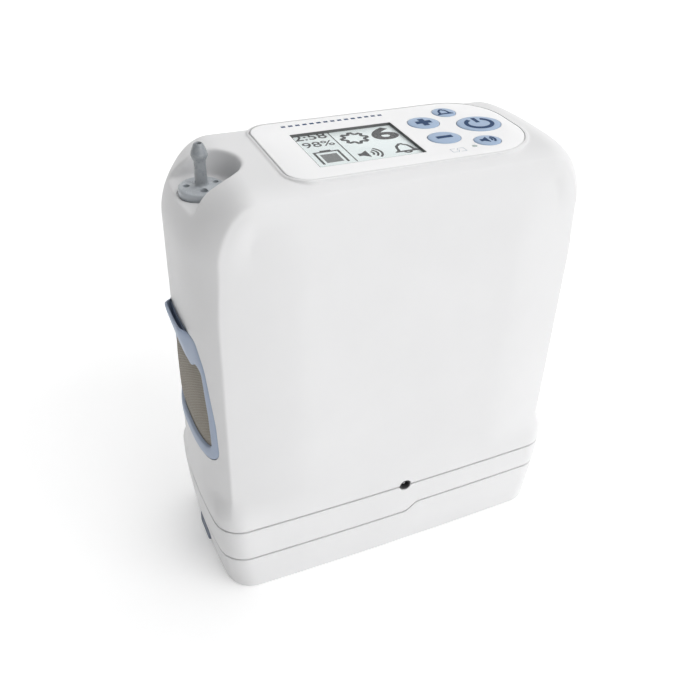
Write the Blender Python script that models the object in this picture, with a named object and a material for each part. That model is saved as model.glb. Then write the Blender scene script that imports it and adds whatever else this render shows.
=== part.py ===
"""Portable oxygen concentrator: enclosure, panel, filters, outlet nozzle, battery pack and inner works.

Frame: X is the width, the front face looks along -Y, +Z is up, the origin is under the centre of the foot.
Sizes below are millimetres; meshes are written in metres.
"""
import math

import bmesh
import bpy
from mathutils import Matrix, Vector

MM = 0.001

# ---- driving dimensions, millimetres -------------------------------------------------------------
HALF_W = 91.3            # half width at mid depth
HALF_D = 41.4            # half depth at the top
HEIGHT = 206.8           # top of the enclosure
DEPTH_TAPER = 1.0        # the foot is this much thinner on each face
GAP = 0.3                # clearance between touching pieces
WALL = 2.2
TOP_WALL = 4.0

CORNER_R = 26.7          # front-view corner radius at mid depth
CORNER_X = HALF_W - CORNER_R
CORNER_Z = HEIGHT - CORNER_R
CREASE_Y = 34.5          # the soft crease between the end band and the front face
SIDE_SAG = 10.0          # how far the band falls back from mid depth to the crease, at the shoulder
SIDE_SAG_LOSS = 1.5      # the sag is this much less below the shoulder
SHOULDER_FALL = 28.0     # over this height
SIDE_POWER = 2.9
TOP_SAG = 3.6            # the same on top
TOP_POWER = 8.0          # flat to near the crease
CORNER_SAG = 1.4         # further sag half way round the top corners
ROLL_LENGTH = 34.0       # the front face rolls back to the crease over this length
ROLL_POWER = 1.5
FACE_CROWN = 0.8

FACET_TOP = 58.0         # the crease fades out between these heights
FACET_END = 46.5
FOOT_CORNER_R = 12.5
FOOT_CROWN = 1.3
FOOT_FACE_CROWN = 1.4
FOOT_TAPER = 4.0

SEAM_UPPER = 40.2        # enclosure to base housing
SEAM_LOWER = 21.1        # base housing to battery, left part
SEAM_LOWER_RIGHT = 25.9  # the same, right of the step
STEP_X = (4.9, 11.4)     # the step's two ends
SEAM_GAP = 0.8
SEAM_BREAK = 0.45        # broken edge on each side of a seam

NOZZLE_X = -76.6
FLANGE_TOP = 197.2
NOZZLE_TIP = 215.2
POCKET_R = 15.2
POCKET_FLOOR = 194.9

PANEL_X = (-49.2, 64.0)
PANEL_Y = (-28.3, 29.5)
PANEL_TOP = 207.3
PANEL_T = 1.6
DISPLAY_X = (-34.4, 11.8)
DISPLAY_Y = (-19.4, 15.0)
KEYS = {                 # name: centre x, centre y, half width, half depth
    "key_plus": (25.7, 9.6, 7.1, 6.5),
    "key_minus": (26.2, -8.4, 7.3, 6.2),
    "key_bell": (40.6, 18.2, 5.4, 5.2),
    "key_speaker": (42.4, -16.9, 6.0, 5.2),
    "key_power": (48.8, 1.0, 10.2, 8.4),
}

JACK = (3.8, 40.6)       # x and z of the inlet
JACK_R = 3.3

FILTER_Z = (77.0, 140.0)
ROOM_CORNER_R = 11.0      # corners of the room inside the battery and of the recess above it
FRAME_DEPTH = (0.4, -1.1)    # front and back of the filter frame, outwards from the end band
DECK_Z = 24.4            # top of the battery cover
SCREW_SEAT = 26.4        # closing screws bear on this height inside their counterbores
SHAFT = (-34.0, 57.0)    # compressor shaft x and z
FAN = (-64.0, 108.0)     # fan mid x and axis z

BAND_STEPS = (0.0, 0.3, 0.55, 0.75, 0.9, 1.0)
ROLL_STEPS = (0.15, 0.35, 0.6, 1.0)
SIDE_LEVELS = (44.0, 48.0, 52.0, 56.0, 60.0, 64.0, 72.0, 100.0, 128.0, 156.0)
ARC_SEGMENTS = 7
TOP_SEGMENTS = 6
FACE_SEGMENTS = 6


# ---- scene, materials and object helpers ---------------------------------------------------------
def clear_scene():
    for obj in list(bpy.data.objects):
        bpy.data.objects.remove(obj, do_unlink=True)


def make_material(name, color, roughness, metallic=0.0):
    mat = bpy.data.materials.new(name)
    mat.use_nodes = True
    shader = mat.node_tree.nodes["Principled BSDF"]
    shader.inputs["Base Color"].default_value = (*color, 1.0)
    shader.inputs["Roughness"].default_value = roughness
    shader.inputs["Metallic"].default_value = metallic
    return mat


FINISHES = {
    "white": ((0.80, 0.80, 0.80), 0.45, 0.0),
    "panel_white": ((0.88, 0.88, 0.89), 0.35, 0.0),
    "key_blue": ((0.46, 0.56, 0.76), 0.40, 0.0),
    "filter_blue": ((0.34, 0.41, 0.55), 0.45, 0.0),
    "filter_mesh": ((0.20, 0.17, 0.13), 0.90, 0.0),
    "nozzle_grey": ((0.32, 0.35, 0.38), 0.40, 0.0),
    "dark": ((0.04, 0.04, 0.05), 0.60, 0.0),
    "rubber": ((0.05, 0.05, 0.05), 0.85, 0.0),
    "display": ((0.72, 0.82, 0.84), 0.20, 0.0),
    "glass": ((0.90, 0.95, 0.96), 0.08, 0.0),
    "steel": ((0.56, 0.57, 0.58), 0.35, 1.0),
    "aluminium": ((0.72, 0.73, 0.75), 0.40, 1.0),
    "copper": ((0.80, 0.45, 0.30), 0.35, 1.0),
    "brass": ((0.78, 0.62, 0.30), 0.35, 1.0),
    "board_green": ((0.05, 0.25, 0.12), 0.55, 0.0),
    "black_plastic": ((0.03, 0.03, 0.03), 0.50, 0.0),
    "grey_plastic": ((0.35, 0.36, 0.38), 0.50, 0.0),
    "tube_clear": ((0.75, 0.80, 0.82), 0.30, 0.0),
    "cell_wrap": ((0.10, 0.28, 0.50), 0.45, 0.0),
}


def new_object(name, bm, finish, origin=(0, 0, 0), smooth=True):
    """Turn a bmesh in millimetres into an object whose origin is at `origin`."""
    bmesh.ops.translate(bm, verts=bm.verts, vec=-Vector(origin))
    bmesh.ops.scale(bm, verts=bm.verts, vec=(MM, MM, MM))
    bmesh.ops.recalc_face_normals(bm, faces=bm.faces)
    mesh = bpy.data.meshes.new(name)
    bm.to_mesh(mesh)
    bm.free()
    obj = bpy.data.objects.new(name, mesh)
    obj.location = Vector(origin) * MM
    bpy.context.scene.collection.objects.link(obj)
    if smooth:
        mesh.shade_smooth()
        mesh.set_sharp_from_angle(angle=math.radians(30))
    if finish:
        mesh.materials.append(make_material(f"{name}_{finish}", *FINISHES[finish]))
    return obj


def as_cutter(obj):
    obj.hide_render = True
    obj.display_type = "WIRE"
    return obj


def boolean(target, other, operation="DIFFERENCE"):
    mod = target.modifiers.new(f"{operation.lower()}_{other.name}", "BOOLEAN")
    mod.operation = operation
    mod.solver = "EXACT"
    mod.object = as_cutter(other)


def bevel(obj, width, segments=2, angle=40):
    mod = obj.modifiers.new("bevel", "BEVEL")
    mod.width = width * MM
    mod.segments = segments
    mod.limit_method = "ANGLE"
    mod.angle_limit = math.radians(angle)


# ---- mesh builders -------------------------------------------------------------------------------
def loft(loops, closed_ring=False):
    """Skin a list of equal-length point loops; the two end loops are capped unless the ring closes."""
    bm = bmesh.new()
    rows = [[bm.verts.new(p) for p in loop] for loop in loops]
    count = len(rows[0])
    pairs = list(zip(rows, rows[1:]))
    if closed_ring:
        pairs.append((rows[-1], rows[0]))
    for low, high in pairs:
        for i in range(count):
            j = (i + 1) % count
            bm.faces.new((low[i], low[j], high[j], high[i]))
    if not closed_ring:
        bm.faces.new(list(reversed(rows[0])))
        bm.faces.new(rows[-1])
    return bm


def along(axis, u, v, w):
    """A point with height w along the named axis."""
    return {"Z": (u, v, w), "Y": (u, w, v), "X": (w, u, v)}[axis]


def box(name, low, high, finish, soften=0.0, origin=None):
    corners = [(low[0], low[1]), (high[0], low[1]), (high[0], high[1]), (low[0], high[1])]
    bm = loft([[(x, y, z) for x, y in corners] for z in (low[2], high[2])])
    obj = new_object(name, bm, finish, origin or (0, 0, 0), smooth=False)
    if soften:
        bevel(obj, soften)
    return obj


def oval(rx, ry, count, centre=(0.0, 0.0)):
    angles = [2 * math.pi * i / count for i in range(count)]
    return [(centre[0] + rx * math.cos(a), centre[1] + ry * math.sin(a)) for a in angles]


def prism(name, outline, low, high, finish, axis="Z", origin=(0, 0, 0), smooth=False):
    bm = loft([[along(axis, u, v, w) for u, v in outline] for w in (low, high)])
    return new_object(name, bm, finish, origin, smooth)


def rod(name, radius, low, high, centre, finish, axis="Z", count=24, origin=(0, 0, 0)):
    return prism(name, oval(radius, radius, count, centre), low, high, finish, axis, origin, smooth=True)


def turned(name, profile, centre, finish, axis="Z", count=24, origin=(0, 0, 0)):
    """Turn a closed (radius, height) profile, all of it off the axis, round a line through `centre`."""
    loops = []
    for i in range(count):
        a = 2 * math.pi * i / count
        c, s = math.cos(a), math.sin(a)
        loops.append([along(axis, centre[0] + r * c, centre[1] + r * s, h) for r, h in profile])
    return new_object(name, loft(loops, closed_ring=True), finish, origin)


def rounded_outline(corners, per_corner=5):
    """A closed outline from (x, y, radius) corners, each rounded by an arc."""
    points = []
    n = len(corners)
    for i, (x, y, radius) in enumerate(corners):
        here = Vector((x, y))
        back = (Vector(corners[i - 1][:2]) - here).normalized()
        ahead = (Vector(corners[(i + 1) % n][:2]) - here).normalized()
        half = back.angle(ahead) / 2
        setback = radius / math.tan(half)
        centre = here + (back + ahead).normalized() * (radius / math.sin(half))
        start = here + back * setback - centre
        sweep = (here + ahead * setback - centre).angle_signed(start)
        for k in range(per_corner + 1):
            points.append(tuple(centre + Matrix.Rotation(sweep * k / per_corner, 2) @ start))
    return points


def tube(name, route, radius, finish, sides=8):
    """A tube round a list of points, with its ends capped."""
    loops = []
    side_dir = Vector((0, 0, 1))
    points = [Vector(p) for p in route]
    for i, p in enumerate(points):
        ahead = points[min(i + 1, len(points) - 1)] - points[max(i - 1, 0)]
        ahead.normalize()
        side_dir = (side_dir - ahead * side_dir.dot(ahead))
        if side_dir.length < 0.05:
            side_dir = Vector((1, 0, 0)) - ahead * ahead.x
        side_dir.normalize()
        other = ahead.cross(side_dir)
        ring = [2 * math.pi * k / sides for k in range(sides)]
        loops.append([p + (side_dir * math.cos(a) + other * math.sin(a)) * radius for a in ring])
    return new_object(name, loft(loops), finish)


def smooth_route(anchors, steps):
    """Points on a Catmull-Rom curve through the anchors."""
    pts = [Vector(p) for p in anchors]
    pts = [pts[0] * 2 - pts[1]] + pts + [pts[-1] * 2 - pts[-2]]
    route = []
    for a, b, c, d in zip(pts, pts[1:], pts[2:], pts[3:]):
        for k in range(steps):
            t = k / steps
            route.append(((b * 2) + (c - a) * t + (a * 2 - b * 5 + c * 4 - d) * t * t
                          + (b * 3 - a - c * 3 + d) * t ** 3) / 2)
    return route + [pts[-2]]


# ---- outer form of the enclosure -----------------------------------------------------------------
def half_width(z):
    if z >= SEAM_UPPER:
        return HALF_W
    return HALF_W - FOOT_TAPER * ((SEAM_UPPER - z) / SEAM_UPPER) ** 1.5


def half_depth(z):
    return HALF_D - DEPTH_TAPER * (HEIGHT - z) / HEIGHT


def crease_weight(z):
    """1 where the section has its crease, 0 where it is the rounded foot."""
    return ease((z - FACET_END) / (FACET_TOP - FACET_END))


def face_y(x, z):
    """Depth of the front face, away from its rolled edge."""
    crown = FOOT_FACE_CROWN + (FACE_CROWN - FOOT_FACE_CROWN) * crease_weight(z)
    return half_depth(z) - crown * (x / HALF_W) ** 2


def ease(t):
    """0 to 1 with level ends."""
    t = min(1.0, max(0.0, t))
    return t * t * (3 - 2 * t)


def side_sag(z):
    """Sag of the end band at height z."""
    return SIDE_SAG - SIDE_SAG_LOSS * ease((CORNER_Z - z) / SHOULDER_FALL)


def roll(length):
    """How much of the face's depth is reached at this distance inside the crease."""
    return 1 - (1 - min(1.0, length / ROLL_LENGTH)) ** ROLL_POWER


def corner_sag(c):
    """Sag at the crease, part of the way round a top corner; c is the cosine of the direction."""
    return c * c * SIDE_SAG + (1 - c * c) * TOP_SAG + 4 * c * c * (1 - c * c) * CORNER_SAG


def inside_crease(x, z):
    """Distance inside the crease, turning smoothly at the corners."""
    dx, dz = abs(x) - CORNER_X, z - CORNER_Z
    side, top = CORNER_R - side_sag(z) - dx, CORNER_R - TOP_SAG - dz
    turn = math.hypot(max(0.0, 1 - side / ROLL_LENGTH), max(0.0, 1 - top / ROLL_LENGTH))
    near = side if dx >= dz else top
    if dx > 0 and dz > 0:
        reach = math.hypot(dx, dz)
        near = CORNER_R - corner_sag(dx / reach) - reach
    return near + (ROLL_LENGTH * (1 - turn) - near) * ease((near - 3.0) / 10.0)


def rolled_face(x, z):
    """Distance of the front face from mid depth, with its roll back to the crease."""
    return CREASE_Y + (face_y(x, z) - CREASE_Y) * roll(max(0.0, inside_crease(x, z)))


def crease_quarter(z):
    """Section of the creased part, from mid depth on the side to the flat of the face."""
    hx, sag = half_width(z), side_sag(z)
    quarter = [(hx - sag * f ** SIDE_POWER, CREASE_Y * f) for f in BAND_STEPS]
    edge = hx - sag
    for s in ROLL_STEPS:
        x = edge + s * (CORNER_X - edge)
        quarter.append((x, rolled_face(x, z)))
    return quarter


def foot_quarter(z):
    """Section of the foot: a rounded rectangle with slightly crowned ends."""
    hx, hy, r = half_width(z), half_depth(z), FOOT_CORNER_R
    straight = hy - r
    end = hx - FOOT_CROWN
    quarter = []
    for f in BAND_STEPS:
        if f <= 0.75:
            y = straight * f / 0.75
            quarter.append((hx - FOOT_CROWN * (y / straight) ** 2, y))
        else:
            a = math.radians(50) * (f - 0.75) / 0.25
            quarter.append((end - r + r * math.cos(a), straight + r * math.sin(a)))
    for s in ROLL_STEPS:
        if s <= 0.35:
            a = math.radians(50 + 40 * s / 0.35)
            point = (end - r + r * math.cos(a), straight + r * math.sin(a))
        else:
            x = end - r + (s - 0.35) / 0.65 * (CORNER_X - end + r)
            point = (x, hy)
        drop = FOOT_FACE_CROWN * (point[0] / HALF_W) ** 2
        quarter.append((point[0], point[1] - drop * point[1] / hy))
    return quarter


def quarter_section(z):
    t = crease_weight(z)
    return [(a[0] * t + b[0] * (1 - t), a[1] * t + b[1] * (1 - t))
            for a, b in zip(crease_quarter(z), foot_quarter(z))]


def section(z, inset=0.0):
    """Closed outline of the outer form at height z, moved inwards by `inset`."""
    quarter = quarter_section(z)
    face = [CORNER_X * (1 - 2 * i / FACE_SEGMENTS) for i in range(1, FACE_SEGMENTS)]
    loop = [(x, -y) for x, y in reversed(quarter)][:-1] + quarter
    loop += [(x, face_y(x, z)) for x in face]
    loop += [(-x, y) for x, y in reversed(quarter)][:-1] + [(-x, -y) for x, y in quarter]
    loop += [(-x, -face_y(x, z)) for x in face]
    if not inset:
        return loop
    moved = []
    for i, p in enumerate(loop):
        tangent = Vector(loop[(i + 1) % len(loop)]) - Vector(loop[i - 1])
        normal = Vector((-tangent.y, tangent.x)).normalized()
        moved.append((p[0] + normal.x * inset, p[1] + normal.y * inset))
    return moved


def band(levels):
    """Solid between stacked sections, each level a (height, inset) pair."""
    return loft([[(x, y, z) for x, y in section(z, inset)] for z, inset in levels])


def enclosure_solid(bottom, inset, top_inset):
    """Closed solid of the upper form, down to `bottom`, moved inwards by the insets."""
    radius = CORNER_R - inset
    squash = (HEIGHT - top_inset - CORNER_Z) / radius
    quarter_len = len(BAND_STEPS) + len(ROLL_STEPS)

    def side_station(z):
        return [(x, y, z) for x, y in section(z, inset)[quarter_len - 1:2 * quarter_len - 1]]

    def arc_station(angle, centre_x):
        c, s = math.cos(angle), math.sin(angle)

        def place(reach, y_of):
            x, z = centre_x + reach * c, CORNER_Z + reach * s * squash
            return (x, y_of(x, z), z)

        edge = radius - corner_sag(c)
        points = []
        for f in BAND_STEPS:
            sag = (corner_sag(c) - s * s * TOP_SAG) * f ** SIDE_POWER + s * s * TOP_SAG * f ** TOP_POWER
            points.append(place(radius - sag, lambda x, z, f=f: (CREASE_Y - inset) * f))
        for t in ROLL_STEPS:
            points.append(place(edge * (1 - t), lambda x, z: rolled_face(x, z) - inset))
        return points

    levels = [z for z in (bottom, *SIDE_LEVELS) if z >= bottom]
    angles = [math.radians(90 * i / ARC_SEGMENTS) for i in range(ARC_SEGMENTS + 1)]
    spread = [CORNER_X * (1 - 2 * i / TOP_SEGMENTS) for i in range(1, TOP_SEGMENTS)]
    right = [side_station(z) for z in levels] + [arc_station(a, CORNER_X) for a in angles]
    left = [[(-x, y, z) for x, y, z in station] for station in reversed(right)]
    ring = right + [arc_station(math.pi / 2, x) for x in spread] + left
    bm = bmesh.new()
    grid = []
    for station in ring:
        front = [bm.verts.new((x, -y, z)) for x, y, z in reversed(station)]
        grid.append(front + [bm.verts.new(p) for p in station[1:]])
    sheets = [grid]
    for edge, side in ((0, -1), (-1, 1)):
        rows = []
        for k, z in enumerate(levels):
            middle = []
            for x in spread:
                depth = face_y(x, z) + crease_weight(z) * (rolled_face(x, z) - face_y(x, z))
                middle.append(bm.verts.new((x, side * (depth - inset), z)))
            rows.append([grid[k][edge]] + middle + [grid[-1 - k][edge]])
        rows.append([station[edge] for station in grid[len(right) - 1:len(grid) - len(left) + 1]])
        sheets.append(rows)
    for rows in sheets:
        for a, b in zip(rows, rows[1:]):
            for i in range(len(a) - 1):
                bm.faces.new((a[i], a[i + 1], b[i + 1], b[i]))
    bmesh.ops.remove_doubles(bm, verts=bm.verts, dist=0.01)
    bmesh.ops.dissolve_degenerate(bm, edges=bm.edges, dist=0.001)
    bmesh.ops.triangulate(bm, faces=[f for f in bm.faces if len(f.verts) == 4])
    bmesh.ops.holes_fill(bm, edges=[e for e in bm.edges if e.is_boundary], sides=0)
    return bm


def side_x(y):
    """Distance of the end band's surface from mid width, at this depth."""
    sag = side_sag(sum(FILTER_Z) / 2)
    return HALF_W - sag * min(1.0, abs(y) / CREASE_Y) ** SIDE_POWER


# ---- enclosure -----------------------------------------------------------------------------------
def filter_outline(grow=0.0):
    """(y, z) outline of the intake filter: wider at its foot, with bowed sides and round corners."""
    low, high = FILTER_Z[0] - grow, FILTER_Z[1] + grow
    half = [(29.8 + grow, low, 8.0 + grow), (29.0 + grow, 100.0, 60.0),
            (24.8 + grow, 128.0 + grow / 2, 25.0), (19.5 + grow / 2, high, 5.0 + grow)]
    return rounded_outline([(-half[0][0], *half[0][1:])] + half + [(-y, z, r) for y, z, r in half[:0:-1]], 3)


def panel_outline(grow=0.0):
    """(x, y) outline of the control panel: small corners on the left, a round right end."""
    left, right, near, far = PANEL_X[0] - grow, PANEL_X[1] + grow, PANEL_Y[0] - grow, PANEL_Y[1] + grow
    small, large = 9.0 + grow, 22.5 + grow
    return rounded_outline([(left, near, small), (right, near, large),
                            (right, far, large), (left, far, small)], 6)


def key_outline(grow=0.0):
    """(x, y) outline of the key switch board, round at its right end."""
    return rounded_outline([(18.0 - grow, -24.0 - grow, 1.5), (61.4 + grow, -24.0 - grow, 18.0),
                            (61.4 + grow, 24.8 + grow, 18.0), (18.0 - grow, 24.8 + grow, 1.5)], 4)


def pocket_outline(radius, reach):
    """(x, y) outline of the nozzle pocket: round on the right, flaring open to the left."""
    points = []
    for i in range(15):
        a = math.radians(-105 + 15 * i)
        points.append((NOZZLE_X + radius * math.cos(a), radius * math.sin(a)))
    return points + [(-reach, radius + 7.5), (-reach, -radius - 7.5)]


def pocket_cutter(name, radius, floor, top):
    outline = pocket_outline(radius, HALF_W + 12)
    slope = math.tan(math.radians(3.5))
    low = [(x, y, floor + (x - NOZZLE_X - 10) * slope) for x, y in outline]
    return new_object(name, loft([low, [(x, y, top) for x, y in outline]]), None, smooth=False)


def seam_points(offset, reach):
    """(x, z) points of the stepped lower seam, moved up by `offset`."""
    return [(-reach, SEAM_LOWER + offset), (STEP_X[0], SEAM_LOWER + offset),
            (STEP_X[1], SEAM_LOWER_RIGHT + offset), (reach, SEAM_LOWER_RIGHT + offset)]


def make_upper_shell():
    bottom = SEAM_UPPER + SEAM_GAP / 2
    solid = enclosure_solid(bottom, 0.0, 0.0)
    shell = new_object("upper_shell", solid, "white")
    cavity = new_object("cut_shell_cavity", enclosure_solid(bottom, WALL, TOP_WALL), None, smooth=False)
    # the cavity runs out through the open foot of the enclosure
    for vert in cavity.data.vertices:
        if vert.co.z < (bottom + 0.1) * MM:
            vert.co.z -= 5 * MM
    block = prism("cut_pocket_block", pocket_outline(POCKET_R + WALL + 0.4, HALF_W + 12), 190.4, 240.0, None)
    boolean(cavity, block)
    boolean(shell, cavity)
    boolean(shell, pocket_cutter("cut_pocket", POCKET_R, POCKET_FLOOR, 240.0))
    boolean(shell, rod("cut_flange_seat", 9.7, FLANGE_TOP - 3.3, 205.0, (NOZZLE_X, 0.0), None, count=32))
    boolean(shell, rod("cut_spigot_hole", 7.0, 180.0, 200.0, (NOZZLE_X, 0.0), None))
    for side in (-1, 1):
        window = prism(f"cut_filter_window_{'right' if side > 0 else 'left'}", filter_outline(GAP),
                       side * 70, side * 110, None, axis="X")
        boolean(shell, window)
    seat = prism("cut_panel_seat", panel_outline(GAP), PANEL_TOP - PANEL_T - GAP, 215.0, None)
    boolean(shell, seat)
    boolean(shell, box("cut_display_opening", (-37.6, -22.5, 198.0), (14.6, 18.0, 210.0), None))
    boolean(shell, prism("cut_key_opening", key_outline(0.6), 198.0, 210.0, None))
    boolean(shell, rod("cut_jack_hole", JACK_R + GAP, -60.0, -30.0, JACK, None, axis="Y"))
    grille = rounded_outline([(-32, 50, 4), (32, 50, 4), (32, 70, 4), (-32, 70, 4)], 3)
    boolean(shell, prism("cut_grille_window", grille, 30.0, 60.0, None, axis="Y"))
    return shell


def make_base_housing():
    low = SEAM_LOWER + SEAM_GAP / 2
    top = SEAM_UPPER - SEAM_GAP / 2
    levels = [(low, SEAM_BREAK), (low + SEAM_BREAK, 0.0), (30.0, 0.0),
              (top - SEAM_BREAK, 0.0), (top, SEAM_BREAK)]
    base = new_object("base_housing", band(levels), "white")
    right = seam_points(SEAM_GAP / 2, 120)
    step = [(right[1][0], 0.0), right[1], right[2], right[3], (120, 0.0)]
    boolean(base, prism("cut_base_step", step, -60, 60, None, axis="Y"))
    boolean(base, new_object("cut_base_cavity", band([(27.6, WALL), (50.0, WALL)]), None))
    recess = rounded_outline([(-86.0, -36.2, ROOM_CORNER_R), (130.0, -36.2, 1), (130.0, 36.2, 1),
                              (-86.0, 36.2, ROOM_CORNER_R)], 4)
    boolean(base, prism("cut_deck_recess", recess, 10.0, DECK_Z + 0.5, None))
    boolean(base, box("cut_socket_hole", (-61.0, -9.0, 20.0), (-29.0, 9.0, 35.0), None))
    boolean(base, rod("cut_base_jack", JACK_R + GAP, -60.0, -30.0, JACK, None, axis="Y"))
    for x in (-76, 76):
        for y in (-24, 24):
            boolean(base, rod(f"cut_screw_{x + 100}_{y + 100}", 1.7, 20, 40, (x, y), None, count=12))
            boolean(base, rod(f"cut_bore_{x + 100}_{y + 100}", 3.6, 20, SCREW_SEAT, (x, y), None, count=16))
    return base


def make_grille():
    outline = rounded_outline([(-31.7, 50.3, 3.7), (31.7, 50.3, 3.7),
                               (31.7, 69.7, 3.7), (-31.7, 69.7, 3.7)], 3)
    grille = prism("exhaust_grille", outline, 38.0, 40.3, "white", axis="Y")
    for i in range(5):
        z = 53.2 + i * 3.4
        boolean(grille, box(f"cut_louvre_{i}", (-28, 30, z - 0.9), (28, 50, z + 0.9), None))
    return grille


# ---- control panel -------------------------------------------------------------------------------
def make_panel():
    bottom = PANEL_TOP - PANEL_T
    panel = prism("control_panel", panel_outline(), bottom, PANEL_TOP, "panel_white")
    x0, x1 = DISPLAY_X
    y0, y1 = DISPLAY_Y
    rim = 0.8
    boolean(panel, box("cut_display_window", (x0 - rim - GAP, y0 - rim - GAP, 200),
                       (x1 + rim + GAP, y1 + rim + GAP, 210), None))
    for name, (x, y, rx, ry) in KEYS.items():
        boolean(panel, prism(f"cut_{name}", oval(rx + GAP, ry + GAP, 24, (x, y)), 200, 210, None))
    boolean(panel, rod("cut_lamp", 1.2, 200, 210, (34.0, -20.4), None, count=12))

    gasket = box("display_gasket", (x0 - rim, y0 - rim, bottom),
                 (x1 + rim, y1 + rim, PANEL_TOP - 0.1), "dark")
    boolean(gasket, box("cut_gasket", (x0, y0, 200), (x1, y1, 210), None))
    box("display_window", (x0 - 2.2, y0 - 2.2, bottom - 1.3), (x1 + 2.2, y1 + 2.2, bottom - GAP), "glass")
    box("display_module", (x0 - 1.0, y0 - 1.0, 200.4), (x1 + 1.0, y1 + 1.0, bottom - 1.6), "display")
    prism("keypad_board", key_outline(), 201.0, 202.6, "board_green")
    rod("indicator_lamp", 0.9, 203.0, PANEL_TOP + 0.1, (34.0, -20.4), "display", count=12)
    for name, (x, y, rx, ry) in KEYS.items():
        loops = []
        for z, shrink in ((203.3, 0.0), (PANEL_TOP + 0.25, 0.0), (PANEL_TOP + 0.5, 0.7)):
            loops.append([(px, py, z) for px, py in oval(rx - shrink, ry - shrink, 24, (x, y))])
        new_object(name, loft(loops), "key_blue", (x, y, 203.3))


# ---- filters and nozzle --------------------------------------------------------------------------
def bowed_slab(name, side, outer, inner, finish, origin):
    """Slab that follows the bowed end band, between two distances outside its surface."""
    depths = [-31.5 + 63.0 * i / 14 for i in range(15)]
    outline = [(side * (side_x(y) + outer), y) for y in depths]
    outline += [(side * (side_x(y) + inner), y) for y in reversed(depths)]
    return prism(name, outline, FILTER_Z[0] - 5, FILTER_Z[1] + 5, finish, origin=origin, smooth=True)


def make_filter(side):
    word = "right" if side > 0 else "left"
    origin = (side * HALF_W, 0.0, sum(FILTER_Z) / 2)
    reach = sorted((side * 70, side * 110))
    outer, inner = FRAME_DEPTH
    frame = bowed_slab(f"filter_frame_{word}", side, outer, inner, "filter_blue", origin)
    boolean(frame, prism(f"trim_frame_{word}", filter_outline(), *reach, None, axis="X"), "INTERSECT")
    opening = rounded_outline([(-25.2, 83.5, 4), (25.2, 83.5, 4), (24.4, 104.0, 50), (21.6, 130.5, 4),
                               (11.5, 129.5, 3), (8.5, 123.0, 3), (-8.5, 123.0, 3), (-11.5, 129.5, 3),
                               (-21.6, 130.5, 4), (-24.4, 104.0, 50)], 3)
    boolean(frame, prism(f"cut_frame_{word}", opening, *reach, None, axis="X"))
    tab_side = [(HALF_W - 0.7, 124.6), (HALF_W + 0.9, 125.8), (93.3, 132.5), (95.0, 138.0), (94.6, 139.8),
                (93.2, 139.4), (92.2, 136.0), (HALF_W - 0.2, 131.5), (HALF_W - 1.0, 130.0)]
    tab = prism(f"join_tab_{word}", [(side * x, z) for x, z in tab_side], -12.0, 12.0, None, axis="Y")
    boolean(frame, tab, "UNION")
    mesh = bowed_slab(f"filter_mesh_{word}", side, inner - GAP, inner - 1.5, "filter_mesh", origin)
    backing = rounded_outline([(-27.0, 81.0, 5), (27.0, 81.0, 5), (26.2, 104.0, 50), (23.0, 133.0, 5),
                               (-23.0, 133.0, 5), (-26.2, 104.0, 50)], 3)
    boolean(mesh, prism(f"trim_mesh_{word}", backing, *reach, None, axis="X"), "INTERSECT")


def make_nozzle():
    top, tip = FLANGE_TOP, NOZZLE_TIP
    bore = 1.0
    profile = [(bore, tip), (1.7, tip), (2.3, tip - 1.2), (2.9, tip - 2.8), (3.3, tip - 4.4),
               (3.1, tip - 5.4), (2.5, tip - 6.9), (2.1, tip - 7.2),
               (2.2, top + 2.0), (2.9, top + 0.6), (8.4, top + 0.5), (9.1, top), (9.3, top - 1.0),
               (9.3, top - 3.0), (5.0, top - 3.0), (5.0, 187.6), (bore, 187.6)]
    centre = (NOZZLE_X, 0.0)
    nozzle = turned("outlet_nozzle", profile, centre, "nozzle_grey", count=28, origin=(NOZZLE_X, 0.0, 187.6))
    for i, (dx, dy, r) in enumerate(((-5.9, 1.7, 1.15), (6.5, 1.8, 1.15), (-0.2, -4.9, 1.6))):
        place = (NOZZLE_X + dx, dy)
        boolean(nozzle, rod(f"cut_flange_hole_{i}", r, top - 1.6, top + 4, place, None, count=12))
    ring = [(6.0 + 0.65 * math.cos(a), 191.6 + 0.65 * math.sin(a)) for a in
            (2 * math.pi * i / 8 for i in range(8))]
    turned("nozzle_seal", ring, centre, "rubber", origin=(NOZZLE_X, 0.0, 191.6))
    rod("output_filter", 4.6, 184.0, 187.2, centre, "white", origin=(NOZZLE_X, 0.0, 184.0))


# ---- inlet ---------------------------------------------------------------------------------------
def make_jack():
    profile = [(JACK_R, -40.0), (2.9, -40.4), (2.5, -40.0), (2.5, -33.0),
               (1.2, -33.0), (1.2, -31.0), (JACK_R, -31.0)]
    turned("dc_jack", profile, JACK, "black_plastic", axis="Y", count=20)
    rod("dc_jack_pin", 0.8, -39.0, -31.5, JACK, "steel", axis="Y", count=12)


# ---- inner works ---------------------------------------------------------------------------------
def make_chassis():
    post = 14.0
    outline = [(-83, 28.0), (83, 28.0), (83, 30.4), (post + 1.6, 30.4), (post + 1.6, 150.0), (post, 150.0),
               (post, 30.4), (-83, 30.4)]
    chassis = prism("chassis", outline, -33, 33, "aluminium", axis="Y")
    boolean(chassis, box("cut_chassis_socket", (-61.0, -9.0, 20), (-29.0, 9.0, 40), None))
    for x in (-76, 76):
        for y in (-24, 24):
            hole = rod(f"cut_chassis_screw_{x + 100}_{y + 100}", 1.7, 20, 40, (x, y), None, count=12)
            boolean(chassis, hole)
            make_screw(f"chassis_screw_{'left' if x < 0 else 'right'}_{'front' if y < 0 else 'rear'}", x, y)


def make_screw(name, x, y):
    head = SCREW_SEAT - 1.3
    screw = rod(name, 3.2, head, head + 1.0, (x, y), "steel", count=16, origin=(x, y, head))
    boolean(screw, rod(f"join_{name}", 1.3, head + 0.5, 34.0, (x, y), None, count=12), "UNION")


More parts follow.
